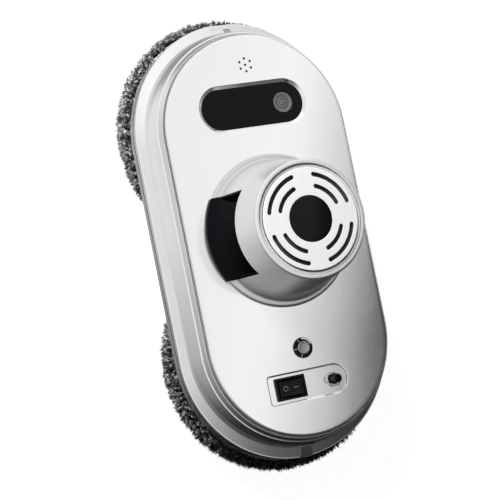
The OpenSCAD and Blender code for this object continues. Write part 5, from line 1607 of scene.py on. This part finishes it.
class ROBOT_OT_stage(bpy.types.Operator):
    """Set up the camera, the pale floor, the studio's sail and bowl, and the lamps"""
    bl_idname = "robot.stage"
    bl_label = "Stage"

    def execute(self, context):
        scene = context.scene
        scene.view_settings.view_transform = "Standard"
        self.camera(scene)
        self.world(scene)
        self.floor()
        self.sail()
        self.bowl()
        self.lamps(scene)
        return {"FINISHED"}

    @staticmethod
    def camera(scene):
        """The camera at the photograph's viewing angle."""
        made = bpy.data.objects.new("camera", bpy.data.cameras.new("camera"))
        made.data.sensor_width, made.data.lens = CAMERA_SENSOR, CAMERA_LENS
        made.data.clip_start, made.data.clip_end = CAMERA_RANGE
        made.location = CAMERA_PLACE
        made.rotation_euler = [radians(a) for a in CAMERA_TURN]
        scene.collection.objects.link(made)
        scene.camera = made

    @staticmethod
    def world(scene):
        """A world that is white to see and gives little light."""
        scene.world = bpy.data.worlds.new("studio")
        s = Shader(scene.world)
        strength = s.seen() * (1 - AMBIENT) + AMBIENT
        s.finish(s.node("ShaderNodeBackground", None, {"Color": WHITE, "Strength": strength}), "World")

    @staticmethod
    def floor():
        """A floor that glows almost white to see. The rest of its white is paper that takes the
        lamps' light and the object's shadow, and black without light to all other rays."""
        s = new_shader("floor")
        shown = s.seen()
        paper = s.node("ShaderNodeBsdfDiffuse", None, {
            "Color": s.blend(s.noise(0.4), (0.78, 0.78, 0.78), (0.8, 0.8, 0.8))})
        nothing = s.node("ShaderNodeBsdfTransparent", None, {"Color": (0, 0, 0, 1)})
        shaded = s.node("ShaderNodeMixShader", None, {0: 1 - shown * FLOOR_PAPER, 1: paper, 2: nothing})
        glow = s.glow(shown * FLOOR_GLOW)
        s.finish(s.node("ShaderNodeAddShader", None, {0: glow, 1: shaded}))
        staged("floor", card(FLOOR_SIZE, 0), s.owner)

    @staticmethod
    def sail():
        """A glowing sail overhead that only mirrors see, white at the left and black at the
        right, with slanting stripes between them. It fades to the front and the far left."""
        s = new_shader("sail")
        x, along = s.axes()[:2]
        across = x - along * SAIL_SLANT
        stops = [((place - SAIL_START) / SAIL_WIDTH, tone) for place, tone in SAIL_TONES]
        tone = s.ramp((across - SAIL_START) / SAIL_WIDTH, stops)
        level = along.fade(-1.5, -0.3, 0.12, 1.05) * across.fade(-1.5, -0.6, 0.86, 1.0)
        s.finish(s.node("ShaderNodeEmission", None, {"Color": tone, "Strength": level}))
        hide(staged("sail", card(SAIL_SIZE, SAIL_HEIGHT), s.owner), "camera", "shadow", "diffuse")

    @staticmethod
    def bowl():
        """A low bowl of card that only mirrors see: open to the left and behind, black in
        front, so the shell's end goes dark. Its tones go by the direction, arctan2(x, -y), and
        its floor darkens towards the body's sides: a painted shadow of the object, seen in mirrors."""
        s = new_shader("surround")
        across, along, height = s.axes()
        share = across.math("ARCTAN2", across, along * -1) / (2 * pi) + 0.5
        near, far, wall = (
            s.ramp(share, [((angle + 180) / 360, tone) for angle, tone in tones])
            for tones in (NEAR_TONES, FAR_TONES, WALL_TONES))
        apart = abs(across) - BODY_HALF
        # painted shadow: the bowl's floor goes dark close to the body's sides
        ground = (near + (far - near) * apart.fade(0.04, 0.18)) * apart.fade(0.0, 0.03, 0.2, 1.0)
        level = ground + (wall * 1.2 - ground) * height.fade(0.08, 0.7)
        s.finish(s.glow(level))
        skin = Skin().grid(circle(0, 0, steps=RING_STEPS).rings(BOWL))
        hide(staged("surround", skin, s.owner), "camera", "diffuse", "shadow", "transmission")

    @staticmethod
    def lamps(scene):
        """Round lamps aimed at the object, which mirrors don't show."""
        for name, size, energy, place in LAMPS:
            lamp = bpy.data.lights.new(name, "AREA")
            lamp.shape, lamp.size, lamp.energy = "DISK", size, energy
            made = bpy.data.objects.new(name, lamp)
            made.location = place
            made.rotation_euler = Vector(place).to_track_quat("Z", "Y").to_euler()
            hide(made, "glossy")
            scene.collection.objects.link(made)


GROUPS = {
    "robot_body": BodySizes, "robot_panel": PanelSizes, "robot_handle": HandleSizes,
    "robot_pads": PadSizes, "robot_finishes": Finishes}
OPERATORS = (
    ROBOT_OT_stage, ROBOT_OT_frame_finishes, ROBOT_OT_side_shell, ROBOT_OT_base_tray, ROBOT_OT_top_cover,
    ROBOT_OT_end_marks, ROBOT_OT_sensor_window, ROBOT_OT_start_button, ROBOT_OT_switch, ROBOT_OT_socket,
    ROBOT_OT_handle, ROBOT_OT_grips, ROBOT_OT_vent, ROBOT_OT_pads)


class ROBOT_PT_panel(bpy.types.Panel):
    """Lists the robot's pieces in the sidebar"""
    bl_idname = "ROBOT_PT_panel"
    bl_label = "Window cleaning robot"
    bl_space_type = "VIEW_3D"
    bl_region_type = "UI"
    bl_category = "Robot"

    def draw(self, context):
        for operator in OPERATORS:
            self.layout.operator(operator.bl_idname)
        for group, kind in GROUPS.items():
            column = self.layout.column(align=True)
            for name in kind.__annotations__:
                column.prop(getattr(context.scene, group), name)


def register():
    """Registers the classes and hangs the groups on the scene."""
    for made in (*GROUPS.values(), *OPERATORS, ROBOT_PT_panel):
        bpy.utils.register_class(made)
    for name, group in GROUPS.items():
        setattr(bpy.types.Scene, name, PointerProperty(type=group))


def unregister():
    """Takes the groups and classes away again."""
    for name in GROUPS:
        delattr(bpy.types.Scene, name)
    for made in (ROBOT_PT_panel, *OPERATORS[::-1], *GROUPS.values()):
        bpy.utils.unregister_class(made)


def main():
    register()
    for operator in OPERATORS:
        group, name = operator.bl_idname.split(".")
        getattr(getattr(bpy.ops, group), name)()


if __name__ == "__main__":
    main()
